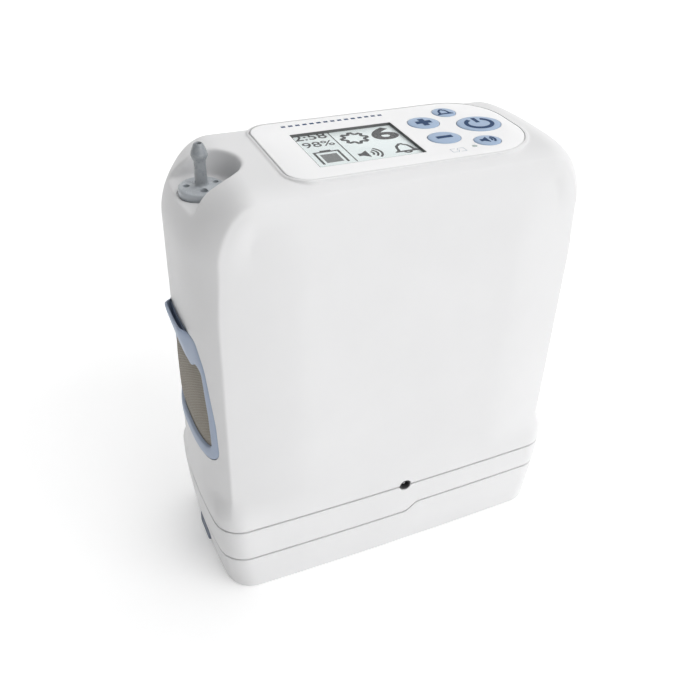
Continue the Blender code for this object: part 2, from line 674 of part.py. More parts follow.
def make_compressor():
    x, z = SHAFT
    case = box("crankcase", (x - 23, -22, z - 20.5), (x + 23, 18, z + 20.5), "aluminium", soften=1.5)
    boolean(case, rod("cut_crank_room", 16.5, -40, 14, SHAFT, None, axis="Y"))
    boolean(case, rod("cut_shaft_hole", 3.4, 0, 40, SHAFT, None, axis="Y"))
    boolean(case, rod("cut_cylinder_bore", 9.0, x - 40, x + 40, (0.0 - 4, z), None, axis="X"))
    rod("motor_can", 19.0, 18.4, 35.2, SHAFT, "steel", axis="Y", count=28)
    motor_bore = rod("cut_motor_bore", 3.6, 10, 28, SHAFT, None, axis="Y", count=16)
    boolean(bpy.data.objects["motor_can"], motor_bore)
    shaft = rod("crankshaft", 3.0, -12.0, 26.0, SHAFT, "steel", axis="Y", origin=(x, 0, z))
    eccentric = rod("join_eccentric", 4.4, -8.0, 0.0, (x, z + 1.8), None, axis="Y")
    boolean(shaft, eccentric, "UNION")
    for side, word in ((-1, "left"), (1, "right")):
        near, far = sorted((x + side * 23.4, x + side * 31.0))
        box(f"cylinder_head_{word}", (near, -16, z - 12), (far, 8, z + 12), "aluminium", soften=1.0)
        start = x + side * 15.0
        piston = rod(f"piston_{word}", 8.6, min(start, start + side * 5), max(start, start + side * 5),
                     (-4.0, z), "aluminium", axis="X", origin=(start, -4.0, z))
        tail = sorted((x + side * 9.5, start + side * 2))
        boolean(piston, rod(f"join_rod_{word}", 2.4, *tail, (-4.0, z), None, axis="X", count=12), "UNION")
    for y, word in ((-17.0, "front"), (13.5, "rear")):
        box(f"compressor_mount_{word}", (x - 20, y - 3.5, 30.7), (x + 20, y + 3.5, z - 20.8), "rubber")


def make_fan():
    x, z = FAN
    frame = box("fan_frame", (x - 6, -25, z - 25), (x + 6, 25, z + 25), "black_plastic", soften=2.0)
    boolean(frame, rod("cut_fan_bore", 22.5, x - 20, x + 20, (0.0, z), None, axis="X", count=32))
    hub, tip, blades = 8.0, 21.5, 7
    loops = []
    for w, turn in ((x - 4.5, -0.28), (x, 0.0), (x + 4.5, 0.28)):
        loop = []
        for b in range(blades):
            base = 2 * math.pi * b / blades + turn
            for r, half in ((hub, 0.16), (tip, 0.05), (tip, -0.05), (hub, -0.16)):
                loop.append(along("X", r * math.cos(base - half), z + r * math.sin(base - half), w))
        loops.append(loop)
    new_object("fan_rotor", loft(loops), "grey_plastic", (x, 0, z), smooth=False)


def make_sieve():
    for y, word in ((-17.2, "front"), (17.2, "rear")):
        rod(f"sieve_column_{word}", 15.5, 30.8, 168.0, (56.0, y), "aluminium", count=28)
    box("sieve_manifold", (38.0, -33.0, 168.4), (74.0, 33.0, 180.0), "grey_plastic", soften=2.0)
    rod("product_tank", 10.5, 30.8, 160.0, (28.6, -20.0), "aluminium", count=24)


def make_pneumatics():
    box("valve_manifold", (-6.0, -31.0, 92.0), (13.6, -13.0, 124.0), "aluminium", soften=1.0)
    for y, word in ((-26.4, "front"), (-17.6, "rear")):
        coil = rod(f"valve_coil_{word}", 4.0, 124.4, 140.0, (4.0, y), "copper", count=16)
        boolean(coil, rod(f"cut_coil_{word}", 1.9, 120, 150, (4.0, y), None, count=12))
        rod(f"valve_plunger_{word}", 1.6, 126.0, 143.0, (4.0, y), "steel", count=12, origin=(4.0, y, 126.0))
    turns, radius = 3.5, 12.0
    steps = int(turns * 16)
    helix = [(-34 + radius * math.cos(2 * math.pi * k / 16), radius * math.sin(2 * math.pi * k / 16),
              146.0 + 6.0 * k / 16) for k in range(steps + 1)]
    tube("cooling_coil", helix, 1.9, "copper", sides=6)
    route = smooth_route([(28.6, -20, 160.4), (28.6, -20, 172), (18, -16, 187), (-8, -10, 194),
                          (-40, -6, 192),
                          (-62, -3, 180), (-74, 0, 176), (NOZZLE_X, 0, 180), (NOZZLE_X, 0, 183.6)], 3)
    tube("outlet_tube", route, 2.0, "tube_clear")


def make_electronics():
    box("main_board", (-52.0, 31.0, 84.0), (12.0, 32.6, 186.0), "board_green")
    box("pressure_sensor", (-10.0, 25.6, 150.0), (2.0, 30.7, 162.0), "black_plastic")
    box("battery_socket", (-60.4, -8.4, 25.2), (-29.6, 8.4, 33.0), "black_plastic", soften=0.6)


# ---- battery pack --------------------------------------------------------------------------------
def room_outline(grow=0.0):
    """(x, y) outline of the room inside the battery case, with round corners."""
    left, right, half, radius = -83.0 - grow, 84.5 + grow, 35.9 + grow, ROOM_CORNER_R + grow
    return rounded_outline([(left, -half, radius), (right, -half, radius), (right, half, radius),
                            (left, half, radius)], 4)


def make_battery():
    top = SEAM_LOWER_RIGHT - SEAM_GAP / 2
    low = 0.8
    levels = [(low, 0.6), (low + 0.6, 0.0), (10.0, 0.0), (SEAM_LOWER - 1.2, 0.0),
              (top - SEAM_BREAK, 0.0), (top, SEAM_BREAK)]
    case = new_object("battery_case", band(levels), "white", smooth=True)
    left = seam_points(-SEAM_GAP / 2, 120)
    above = [left[0], left[1], left[2], (STEP_X[1], 60), (-120, 60)]
    boolean(case, prism("cut_case_step", above, -60, 60, None, axis="Y"))
    boolean(case, prism("cut_case_room", room_outline(), 2.4, 60.0, None))
    boolean(case, box("cut_latch_hole", (-100.0, -7.8, 6.2), (-80.0, 7.8, 14.3), None))
    for x, word in ((-52.0, "left"), (52.0, "right")):
        boolean(case, box(f"cut_foot_seat_{word}", (x - 12.3, -30.3, -1), (x + 12.3, 30.3, 1.5), None))
        box(f"foot_{word}", (x - 12, -30, 0.0), (x + 12, 30, 1.2), "rubber", soften=0.3)

    deck = prism("battery_cover", room_outline(-GAP), DECK_Z - 1.6, DECK_Z, "grey_plastic")
    boolean(deck, box("cut_contact_hole", (-60.7, -8.7, 20), (-29.3, 8.7, 30), None))
    box("battery_contacts", (-60.4, -8.4, 21.6), (-29.6, 8.4, DECK_Z), "brass", soften=0.4)

    radius, pitch, cells = 9.1, 17.9, 8
    centre_z, points = 12.2, []
    start = -pitch * (cells - 1) / 2 + 2
    reach = math.acos(pitch / 2 / radius)
    for c in range(cells):
        first = math.pi - reach if c else math.pi
        last = reach if c < cells - 1 else 0.0
        for k in range(7):
            a = first + (last - first) * k / 6
            points.append((start + c * pitch + radius * math.cos(a), centre_z + radius * math.sin(a)))
    below = [(x, 2 * centre_z - z) for x, z in reversed(points)]
    prism("cell_pack", points + below[1:-1], -32.5, 32.5, "cell_wrap", axis="Y", smooth=True)

    box("battery_latch", (-89.5, -7.5, 6.5), (-84.2, 7.5, 14.0), "filter_blue", soften=0.6,
        origin=(-89.5, 0.0, 10.25))


def main():
    clear_scene()
    make_upper_shell()
    make_base_housing()
    make_grille()
    make_panel()
    make_filter(-1)
    make_filter(1)
    make_nozzle()
    make_jack()
    make_chassis()
    make_compressor()
    make_fan()
    make_sieve()
    make_pneumatics()
    make_electronics()
    make_battery()


main()
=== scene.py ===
"""Looks of the portable oxygen concentrator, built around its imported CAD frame."""
import math

import bmesh
import bpy
import numpy as np
from mathutils import Matrix, Vector


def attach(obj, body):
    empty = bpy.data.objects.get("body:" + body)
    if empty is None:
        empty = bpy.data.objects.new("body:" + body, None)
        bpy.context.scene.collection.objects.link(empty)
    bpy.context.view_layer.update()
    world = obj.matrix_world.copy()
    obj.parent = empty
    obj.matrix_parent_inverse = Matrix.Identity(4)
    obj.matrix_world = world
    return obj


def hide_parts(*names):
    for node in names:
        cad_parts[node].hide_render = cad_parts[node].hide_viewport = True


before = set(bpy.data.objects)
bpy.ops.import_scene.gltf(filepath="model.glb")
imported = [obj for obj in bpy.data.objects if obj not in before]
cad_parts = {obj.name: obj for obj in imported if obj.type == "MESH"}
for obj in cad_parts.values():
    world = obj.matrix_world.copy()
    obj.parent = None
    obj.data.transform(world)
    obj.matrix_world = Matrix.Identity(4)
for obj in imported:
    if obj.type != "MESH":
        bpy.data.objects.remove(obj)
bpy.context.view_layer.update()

MM = 0.001

# ---- sizes of the part, millimetres ----
HALF_W, HALF_D, HEIGHT = 91.3, 41.3, 206.8
CORNER_R = 26.7
CORNER_X, CORNER_Z = HALF_W - CORNER_R, HEIGHT - CORNER_R
CREASE_Y = 34.5
SIDE_SAG, SIDE_SAG_LOSS, SIDE_POWER = 10.0, 1.5, 2.9
SHOULDER_FALL = 28.0
TOP_SAG, TOP_POWER, CORNER_SAG = 3.6, 8.0, 1.4
ROLL_LENGTH, ROLL_POWER = 34.0, 1.5
FACE_CROWN, FOOT_FACE_CROWN = 0.8, 1.4
FACET_TOP, FACET_END = 58.0, 46.5
FOOT_CORNER_R, FOOT_CROWN, FOOT_TAPER = 12.5, 1.3, 4.0
CREASE_SOFT = 0.5
SLOPE = 0.88
ROLL_BLEND = (3.0, 13.0)
WALL = 2.2
SEAM_UPPER, SEAM_LOWER, SEAM_LOWER_RIGHT = 40.2, 21.1, 25.9
STEP_X = (4.9, 11.4)
SEAM_GAP, SEAM_BREAK = 1.0, 0.4
NOZZLE_X, FLANGE_TOP, NOZZLE_TIP = -76.6, 197.2, 215.2
POCKET_R, POCKET_FLOOR, POCKET_DRAFT, POCKET_FALL = 15.2, 194.9, 0.02, 0.09
POCKET_FLARE, POCKET_SOFT = 0.045, 2.0
PANEL_X, PANEL_Y, PANEL_TOP, PANEL_T = (-49.2, 64.0), (-28.3, 29.5), 207.3, 1.6
PANEL_R = (9.0, 22.5)
PANEL_LIP, LIP_WIDTH, LIP_SOFT, LIP_ROOT = 207.28, 1.6, 0.7, 196.0
DISPLAY_X, DISPLAY_Y = (-34.4, 11.8), (-19.4, 15.0)
LCD_FACE = PANEL_TOP - 1.25
GASKET_RIM, LAMP = 0.2, (34.0, -20.4)
KEYS = {
    "key_plus": (25.7, 9.6, 7.1, 6.5),
    "key_minus": (26.2, -8.4, 7.3, 6.2),
    "key_bell": (40.6, 18.2, 5.4, 5.2),
    "key_speaker": (42.4, -16.9, 6.0, 5.2),
    "key_power": (48.8, 1.0, 10.2, 8.4),
}
# (height over the panel, inset) up the edge of a key, then the crown in the middle
KEY_EDGE = ((-4.0, 0.0), (-0.1, 0.0), (0.08, 0.1), (0.2, 0.32), (0.27, 0.7), (0.31, 1.2))
KEY_CROWN, KEY_POINTS = 0.13, 72
JACK, JACK_R = (3.8, 40.6), 2.9
FILTER_Z, FILTER_MID = (77.0, 140.0), 106.0
TAB_X = 94.98
DECK_Z, DECK_TOP = 24.4, 27.6
FOOT_X = 52.0
SCREW_X, SCREW_Y = 76.0, 24.0
BELOW, ABOVE = 200.0, 212.0  # cutters for the panel run between these heights
SKIN_FLOOR = 66.0            # the skinned upper part gives way to plain rings here


# ---- material nodes ----
def material(name, color, roughness, metallic=0.0, **sockets):
    mat = bpy.data.materials.new(name)
    mat.use_nodes = True
    shader = mat.node_tree.nodes["Principled BSDF"]
    shader.inputs["Base Color"].default_value = (*color, 1.0)
    shader.inputs["Roughness"].default_value = roughness
    shader.inputs["Metallic"].default_value = metallic
    for key, value in sockets.items():
        shader.inputs[key].default_value = value
    return mat, mat.node_tree, shader


def add_node(tree, kind, inputs, operation=None):
    """A new node, each input fed by a value or by another node's output."""
    node = tree.nodes.new(kind)
    if operation:
        node.operation = operation
    for key, value in inputs.items():
        if isinstance(value, bpy.types.NodeSocket):
            tree.links.new(value, node.inputs[key])
        else:
            node.inputs[key].default_value = value
    return node


def object_coords(tree):
    coords = tree.nodes.get("coords") or tree.nodes.new("ShaderNodeTexCoord")
    coords.name = "coords"
    return coords.outputs["Object"]


def noise(tree, scale, detail, roughness=0.5, vector=None):
    """Fractal noise on the object's own coordinates, or on a given vector."""
    node = add_node(tree, "ShaderNodeTexNoise", {
        "Vector": vector or object_coords(tree), "Scale": scale, "Detail": detail, "Roughness": roughness})
    return node.outputs["Fac"]


def ramp(tree, source, stops):
    node = add_node(tree, "ShaderNodeValToRGB", {"Fac": source})
    for element, (place, color) in zip(node.color_ramp.elements, stops):
        element.position = place
        element.color = (*color, 1.0)
    return node.outputs["Color"]


def spread(tree, source, low, high, start=0.0, end=1.0):
    """Map a value from start..end onto low..high."""
    node = add_node(tree, "ShaderNodeMapRange", {
        "Value": source, "From Min": start, "From Max": end, "To Min": low, "To Max": high})
    return node.outputs["Result"]


def bump(tree, shader, source, strength, distance):
    node = add_node(tree, "ShaderNodeBump", {"Strength": strength, "Distance": distance, "Height": source})
    tree.links.new(node.outputs["Normal"], shader.inputs["Normal"])


def moulded(name, color, roughness=0.42, grain=5200.0, depth=0.00002, **sockets):
    """Moulded plastic: fine spark-eroded grain, slow cloudiness in gloss and colour."""
    mat, tree, shader = material(name, color, roughness, **sockets)
    darker = tuple(c * 0.98 for c in color)
    lighter = tuple(min(1.0, c * 1.012) for c in color)
    cloud = ramp(tree, noise(tree, 22.0, 4.0, 0.55), ((0.3, darker), (0.7, lighter)))
    tree.links.new(cloud, shader.inputs["Base Color"])
    scuff = spread(tree, noise(tree, 310.0, 5.0, 0.7), roughness - 0.07, roughness + 0.07)
    tree.links.new(scuff, shader.inputs["Roughness"])
    bump(tree, shader, noise(tree, grain, 2.0, 0.6), 0.35, depth)
    return mat


def painted_shade_above(mat, height, share):
    """Painted shade: deepen a material's colour above a height, standing in for the shade that falls on the
    part there.
    """
    tree = mat.node_tree
    shader = tree.nodes["Principled BSDF"]
    source = shader.inputs["Base Color"].links[0].from_socket
    split = add_node(tree, "ShaderNodeSeparateXYZ", {"Vector": object_coords(tree)})
    level = spread(tree, split.outputs["Z"], 1.0, share, height * MM, (height + 1.5) * MM)
    scaled = add_node(tree, "ShaderNodeVectorMath", {0: source, "Scale": level}, "SCALE")
    tree.links.new(scaled.outputs["Vector"], shader.inputs["Base Color"])
    return mat


def metal(name, color, roughness, stretch=(1.0, 1.0, 30.0)):
    """Metal with a fine grain, drawn out along one axis unless told otherwise."""
    mat, tree, shader = material(name, color, roughness, 1.0)
    mapping = add_node(tree, "ShaderNodeMapping", {"Vector": object_coords(tree), "Scale": stretch})
    grain = noise(tree, 260.0, 6.0, vector=mapping.outputs["Vector"])
    dark = tuple(c * 0.86 for c in color)
    tree.links.new(ramp(tree, grain, ((0.3, dark), (0.7, color))), shader.inputs["Base Color"])
    gloss = spread(tree, grain, roughness - 0.08, roughness + 0.12)
    tree.links.new(gloss, shader.inputs["Roughness"])
    bump(tree, shader, grain, 0.25, 0.00003)
    return mat


def woven(name, warp, weft, pitch):
    """Fine woven screen, its threads running diagonally over the end face."""
    mat, tree, shader = material(name, warp, 0.85)
    threads = []
    for turn in (0.62, -0.95):
        mapping = add_node(tree, "ShaderNodeMapping", {
            "Vector": object_coords(tree), "Rotation": (turn, 0.0, 0.0)})
        wave = add_node(tree, "ShaderNodeTexWave", {
            "Vector": mapping.outputs["Vector"], "Scale": pitch, "Distortion": 0.5, "Detail": 1.0})
        wave.bands_direction = "Y"
        threads.append(wave.outputs["Fac"])
    weave = add_node(tree, "ShaderNodeMath", {0: threads[0], 1: threads[1]}, "MAXIMUM").outputs[0]
    cloud = add_node(tree, "ShaderNodeMath", {0: noise(tree, 70.0, 3.0), 1: 0.35, 2: weave}, "MULTIPLY_ADD")
    tree.links.new(ramp(tree, cloud.outputs[0], ((0.35, weft), (1.1, warp))), shader.inputs["Base Color"])
    bump(tree, shader, weave, 0.6, 0.0003)
    return mat


WHITE = (0.775, 0.775, 0.78)
MATS = {
    "shell": moulded("shell_white", WHITE, 0.46),
    "panel": moulded("panel_white", (0.96, 0.96, 0.965), 0.34, depth=0.00001),
    "key": moulded("key_blue", (0.36, 0.48, 0.66), 0.38),
    "latch": moulded("latch_blue", (0.17, 0.20, 0.27), 0.45),
    "ink_navy": moulded("ink_navy", (0.012, 0.05, 0.14), 0.5, **{"Specular IOR Level": 0.15}),
    "ink_grey": moulded("ink_grey", (0.03, 0.032, 0.034), 0.5),
    "ink_mid": moulded("ink_mid", (0.16, 0.17, 0.17), 0.5),
    "ink_pale": moulded("ink_pale", (0.55, 0.60, 0.65), 0.5),
    "filter": moulded("filter_blue", (0.36, 0.43, 0.56), 0.42),
    "screen": woven("filter_screen", (0.38, 0.35, 0.30), (0.16, 0.145, 0.12), 420.0),
    # painted shade: the nozzle stem above the flange has its colour deepened to 62% for the shade from the
    # pocket round it
    "nozzle": painted_shade_above(moulded("nozzle_grey", (0.46, 0.49, 0.52), 0.28), FLANGE_TOP + 0.9, 0.62),
    "gasket": moulded("gasket_grey", (0.13, 0.135, 0.135), 0.55),
    "lcd": moulded("display_face", (0.86, 0.93, 0.93), 0.30),
    "rubber": moulded("rubber_black", (0.035, 0.035, 0.037), 0.8, depth=0.00005),
    "black": moulded("black_plastic", (0.045, 0.045, 0.048), 0.42),
    "grey": moulded("grey_plastic", (0.30, 0.31, 0.33), 0.5),
    "board": moulded("board_green", (0.02, 0.16, 0.07), 0.38),
    "felt": moulded("filter_felt", (0.82, 0.82, 0.80), 0.9, depth=0.0001, grain=2500.0),
    "wrap": moulded("cell_wrap", (0.06, 0.22, 0.44), 0.36),
    "lamp": moulded("lamp_lens", (0.50, 0.58, 0.56), 0.2),
    "tube": moulded("tube_clear", (0.72, 0.77, 0.79), 0.25),
    "steel": metal("steel", (0.56, 0.57, 0.58), 0.32),
    "aluminium": metal("aluminium", (0.74, 0.75, 0.77), 0.38, (1.0, 1.0, 1.0)),
    "copper": metal("copper", (0.83, 0.46, 0.30), 0.3),
    "brass": metal("brass", (0.80, 0.63, 0.31), 0.3),
}
MATS["glass"] = material("display_glass", (0.97, 0.99, 0.99), 0.08, Alpha=0.04)[0]


# ---- objects ----
def dress(obj, mat, body, replaces=(), sharp=35):
    obj.data.materials.clear()
    obj.data.materials.append(MATS[mat])
    obj.data.shade_smooth()
    obj.data.set_sharp_from_angle(angle=math.radians(sharp))
    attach(obj, body)
    if replaces:
        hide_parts(*replaces)
    return obj


def place(name, data):
    obj = bpy.data.objects.new(name, data)
    bpy.context.scene.collection.objects.link(obj)
    return obj


def link(name, bm):
    """Turn a bmesh in millimetres into an object in metres."""
    bmesh.ops.scale(bm, verts=bm.verts, vec=(MM, MM, MM))
    bmesh.ops.recalc_face_normals(bm, faces=bm.faces)
    mesh = bpy.data.meshes.new(name)
    bm.to_mesh(mesh)
    bm.free()
    return place(name, mesh)


def cut(target, cutters):
    """Apply one exact Boolean with a list of objects, which are then removed."""
    group = bpy.data.collections.new("cutters")
    for obj in cutters:
        group.objects.link(obj)
    mod = target.modifiers.new("cut", "BOOLEAN")
    mod.operation = "DIFFERENCE"
    mod.solver = "EXACT"
    mod.operand_type = "COLLECTION"
    mod.collection = group
    graph = bpy.context.evaluated_depsgraph_get()
    mesh = bpy.data.meshes.new_from_object(target.evaluated_get(graph))
    target.modifiers.clear()
    old = target.data
    target.data = mesh
    bpy.data.meshes.remove(old)
    for obj in cutters:
        bpy.data.objects.remove(obj)
    bpy.data.collections.remove(group)


def strip(bm, low, high):
    """Faces between two open rows of vertices."""
    for i in range(len(low) - 1):
        bm.faces.new((low[i], low[i + 1], high[i + 1], high[i]))


def bridge(bm, low, high):
    """Faces between two closed rings of vertices."""
    strip(bm, low + low[:1], high + high[:1])


def loft(loops, caps=True, ring=False):
    bm = bmesh.new()
    rows = [[bm.verts.new(p) for p in loop] for loop in loops]
    for low, high in zip(rows, rows[1:]):
        bridge(bm, low, high)
    if ring:
        bridge(bm, rows[-1], rows[0])
    elif caps:
        bm.faces.new(rows[0][::-1])
        bm.faces.new(rows[-1])
    return bm


def along(axis, u, v, w):
    return {"Z": (u, v, w), "Y": (u, w, v), "X": (w, u, v)}[axis]


def prism(name, outline, low, high, axis="Z"):
    return link(name, loft([[along(axis, u, v, w) for u, v in outline] for w in (low, high)]))


def oval(rx, ry, count, centre=(0.0, 0.0)):
    turns = [2 * math.pi * i / count for i in range(count)]
    return [(centre[0] + rx * math.cos(a), centre[1] + ry * math.sin(a)) for a in turns]


def rod(name, radius, low, high, centre, axis="Z", count=48):
    return prism(name, oval(radius, radius, count, centre), low, high, axis)


def slab(name, low, high):
    outline = [(low[0], low[1]), (high[0], low[1]), (high[0], high[1]), (low[0], high[1])]
    return prism(name, outline, low[2], high[2])


def turned(name, profile, centre, axis="Z", count=64):
    """Turn a profile of (radius, height) points about an axis."""
    cx, cy = centre
    turns = [2 * math.pi * i / count for i in range(count)]
    return link(name, loft([[along(axis, cx + r * math.cos(a), cy + r * math.sin(a), h) for r, h in profile]
                            for a in turns], ring=True))


def rounded_outline(corners, per_corner=10):
    points = []
    n = len(corners)
    for i, (x, y, radius) in enumerate(corners):
        here = Vector((x, y))
        back = (Vector(corners[i - 1][:2]) - here).normalized()
        ahead = (Vector(corners[(i + 1) % n][:2]) - here).normalized()
        half = back.angle(ahead) / 2
        setback = radius / math.tan(half)
        centre = here + (back + ahead).normalized() * (radius / math.sin(half))
        start = here + back * setback - centre
        sweep = (here + ahead * setback - centre).angle_signed(start)
        for k in range(per_corner + 1):
            points.append(tuple(centre + Matrix.Rotation(sweep * k / per_corner, 2) @ start))
    return points


def box_outline(xs, ys, radius, per_corner, grow=0.0):
    """Rectangle with rounded corners, moved outwards if asked."""
    x0, x1 = xs[0] - grow, xs[1] + grow
    y0, y1 = ys[0] - grow, ys[1] + grow
    corners = [(x0, y0, radius), (x1, y0, radius), (x1, y1, radius), (x0, y1, radius)]
    return rounded_outline(corners, per_corner)


def inset_outline(outline, amount):
    """Move a counter-clockwise outline inwards."""
    moved = []
    n = len(outline)
    for i, p in enumerate(outline):
        tangent = Vector(outline[(i + 1) % n]) - Vector(outline[i - 1])
        normal = Vector((-tangent.y, tangent.x)).normalized()
        moved.append((p[0] + normal.x * amount, p[1] + normal.y * amount))
    return moved


def soft_prism(name, outline, low, high, radius, bottom=0.0):
    """Prism whose top edge (and bottom edge, if asked) is rounded."""
    turns = [math.pi / 2 * k / 4 for k in range(5)]
    levels = [(low, 0.0)]
    if bottom:
        levels = sorted((low + bottom * (1 - math.sin(a)), bottom * (1 - math.cos(a))) for a in turns)
    levels += [(high - radius * (1 - math.sin(a)), radius * (1 - math.cos(a))) for a in turns]
    return link(name, loft([[(x, y, z) for x, y in inset_outline(outline, d)] for z, d in levels]))


# ---- outer form as a field: negative inside, close to a distance near the surface ----
def smax(a, b, k):
    h = np.clip(0.5 + 0.5 * (a - b) / k, 0.0, 1.0)
    return b + (a - b) * h + k * h * (1 - h)


def smin(a, b, k):
    return -smax(-a, -b, k)


def smoothstep(t):
    t = np.clip(t, 0.0, 1.0)
    return t * t * (3 - 2 * t)


def box_distance(qx, qy):
    """Distance to a corner's two sides, given how far a point is past each of them."""
    return np.hypot(np.maximum(qx, 0), np.maximum(qy, 0)) + np.minimum(np.maximum(qx, qy), 0)


def body_field(x, y, z):
    """The enclosure and foot without openings: an end band met by rolled faces along a crease."""
    ax, ay = np.abs(x), np.abs(y)
    weight = smoothstep((z - FACET_END) / (FACET_TOP - FACET_END))
    depth = HALF_D - (HEIGHT - z) / HEIGHT
    crown = FOOT_FACE_CROWN + (FACE_CROWN - FOOT_FACE_CROWN) * weight
    face = depth - crown * (ax / HALF_W) ** 2
    dx, dz = ax - CORNER_X, z - CORNER_Z
    both = (dx > 0) & (dz > 0)
    reach = np.where(both, np.hypot(dx, dz), np.maximum(dx, dz))
    c2 = np.where(both, dx * dx / np.maximum(reach, 1e-6) ** 2, (dx >= dz) * 1.0)
    lost = SIDE_SAG_LOSS * smoothstep(-dz / SHOULDER_FALL)
    corner = 4 * c2 * (1 - c2) * CORNER_SAG
    f = ay / CREASE_Y
    g = np.minimum(f, 1.0)
    over = np.maximum(f - 1.0, 0.0)
    side_sag = c2 * (SIDE_SAG - lost) + corner
    side = side_sag * (g ** SIDE_POWER + SIDE_POWER * over)
    top = (1 - c2) * TOP_SAG * (g ** TOP_POWER + TOP_POWER * over)
    edge = CORNER_R - side_sag - (1 - c2) * TOP_SAG
    band = reach - CORNER_R + side + top
    near = edge - reach
    side_away = np.maximum(0.0, 1 - (CORNER_R - SIDE_SAG + lost - dx) / ROLL_LENGTH)
    top_away = np.maximum(0.0, 1 - (CORNER_R - TOP_SAG - dz) / ROLL_LENGTH)
    far = ROLL_LENGTH * (1 - np.hypot(side_away, top_away))
    start, end = ROLL_BLEND
    length = near + (far - near) * smoothstep((near - start) / (end - start))
    t = np.clip(length / ROLL_LENGTH, 0.0, 1.0)
    rolled = np.where(length > 0, 1 - (1 - t) ** ROLL_POWER, ROLL_POWER * length / ROLL_LENGTH)
    front = ay - CREASE_Y - (face - CREASE_Y) * rolled
    creased = smax(band * SLOPE, front * SLOPE, CREASE_SOFT)
    low = np.clip((SEAM_UPPER - z) / SEAM_UPPER, 0.0, 1.0)
    half = HALF_W - FOOT_TAPER * low ** 1.5
    straight = depth - FOOT_CORNER_R
    bow = FOOT_CROWN * np.minimum((ay / straight) ** 2, 1.0 + 0.4 * np.maximum(ay / straight - 1, 0))
    qx = ax + bow - half + FOOT_CORNER_R
    qy = ay - face + FOOT_CORNER_R
    foot = box_distance(qx, qy) - FOOT_CORNER_R
    return creased * weight + foot * (1 - weight)


def panel_distance(x, y):
    """Signed distance to the control panel's outline."""
    left, right = PANEL_X
    radius = np.where(x < 0, PANEL_R[0], PANEL_R[1])
    qx = np.abs(x - (left + right) / 2) - (right - left) / 2 + radius
    qy = np.abs(y - sum(PANEL_Y) / 2) - np.ptp(PANEL_Y) / 2 + radius
    return box_distance(qx, qy) - radius


def pocket_field(x, y, z):
    """The open pocket round the nozzle: negative in the space."""
    dx = np.maximum(NOZZLE_X - x, 0.0)
    flared = (np.abs(y) - POCKET_R - POCKET_FLARE * dx ** 2) / np.sqrt(1 + (2 * POCKET_FLARE * dx) ** 2)
    walls = np.where(x > NOZZLE_X, np.hypot(x - NOZZLE_X, y) - POCKET_R, flared)
    walls = walls - POCKET_DRAFT * (z - POCKET_FLOOR)
    floor = POCKET_FLOOR - POCKET_FALL * np.maximum(NOZZLE_X - 5.0 - x, 0.0)
    return smax(walls, floor - z, POCKET_SOFT)


def shell_field(x, y, z):
    """The enclosure with the raised seat round its panel and the pocket taken out."""
    outer = body_field(x, y, z)
    ledge = smax(panel_distance(x, y) - LIP_WIDTH, z - PANEL_LIP, LIP_SOFT)
    ledge = smax(ledge, LIP_ROOT - z, 0.5)
    outer = np.where(z > 200.0, smin(outer, ledge, LIP_SOFT), outer)
    soft = 0.9 + 0.6 * smoothstep((z - 194.5) / 8.0)
    return np.where(x < -50.0, smax(outer, -pocket_field(x, y, z), soft), outer)


def project(points, field):
    """Move points along the field's gradient until they lie on its surface."""
    p = np.array(points, float)
    h, longest, least_slope = 0.02, 0.6, 0.25
    for _ in range(6):
        v = field(*p.T)
        g = np.stack([(field(*(p + d).T) - field(*(p - d).T)) / (2 * h) for d in np.eye(3) * h], axis=1)
        step = v[:, None] * g / np.maximum((g * g).sum(1), least_slope)[:, None]
        size = np.linalg.norm(step, axis=1, keepdims=True)
        p -= step * np.minimum(1.0, longest / np.maximum(size, 1e-9))
    return p


def halves(axis):
    """Grid indices of every point but the last, and every point but the first, along one axis."""
    low, high = [slice(None)] * 3, [slice(None)] * 3
    low[axis], high[axis] = slice(None, -1), slice(1, None)
    return tuple(low), tuple(high)


def net(xs, ys, zs, field):
    """Skin the surface where the field is zero, one vertex to each cell it crosses."""
    value = field(xs[:, None, None], ys[None, :, None], zs[None, None, :])
    inside = value < 0
    shape = tuple(n - 1 for n in value.shape)
    total = np.zeros((*shape, 3))
    hits = np.zeros(shape)
    axes = (xs, ys, zs)
    for axis in range(3):
        low, high = halves(axis)
        a, b = value[low], value[high]
        crossed = inside[low] != inside[high]
        share = np.where(crossed, a / np.where(crossed, a - b, 1.0), 0.0)
        others = [k for k in range(3) if k != axis]
        for du in (0, 1):
            for dv in (0, 1):
                pick = [slice(None)] * 3
                for k, shift in zip(others, (du, dv)):
                    pick[k] = slice(shift, shift + shape[k])
                hit, part = crossed[tuple(pick)], share[tuple(pick)]
                hits += hit
                for k in range(3):
                    line = axes[k]
                    view = [None, None, None]
                    view[k] = slice(None)
                    if k == axis:
                        place = line[:-1][tuple(view)] + np.diff(line)[tuple(view)] * part
                    else:
                        shift = du if k == others[0] else dv
                        place = np.broadcast_to(line[shift:shift + shape[k]][tuple(view)], shape)
                    total[..., k] += np.where(hit, place, 0.0)
    active = hits > 0
    index = np.full(shape, -1, int)
    index[active] = np.arange(active.sum())
    points = total[active] / hits[active][:, None]
    faces = []
    for axis in range(3):
        low, high = halves(axis)
        starts = inside[low]
        crossed = starts != inside[high]
        b, c = (axis + 1) % 3, (axis + 2) % 3
        trim = [slice(None)] * 3
        trim[b], trim[c] = slice(1, -1), slice(1, -1)
        one = np.eye(3, dtype=int)
        where = np.argwhere(crossed[tuple(trim)]) + one[b] + one[c]
        quads = np.stack([index[tuple((where - du * one[b] - dv * one[c]).T)]
                          for du, dv in ((1, 1), (0, 1), (0, 0), (1, 0))], axis=1)
        flip = ~starts[where[:, 0], where[:, 1], where[:, 2]]
        quads[flip] = quads[flip][:, ::-1]
        faces.append(quads)
    return points, np.concatenate(faces)


def steps(*runs):
    """Grid lines from (start, end, spacing) runs."""
    out = []
    for start, end, size in runs:
        count = max(1, round((end - start) / size))
        out.extend(np.linspace(start, end, count, endpoint=False))
    return np.array(out + [runs[-1][1]])


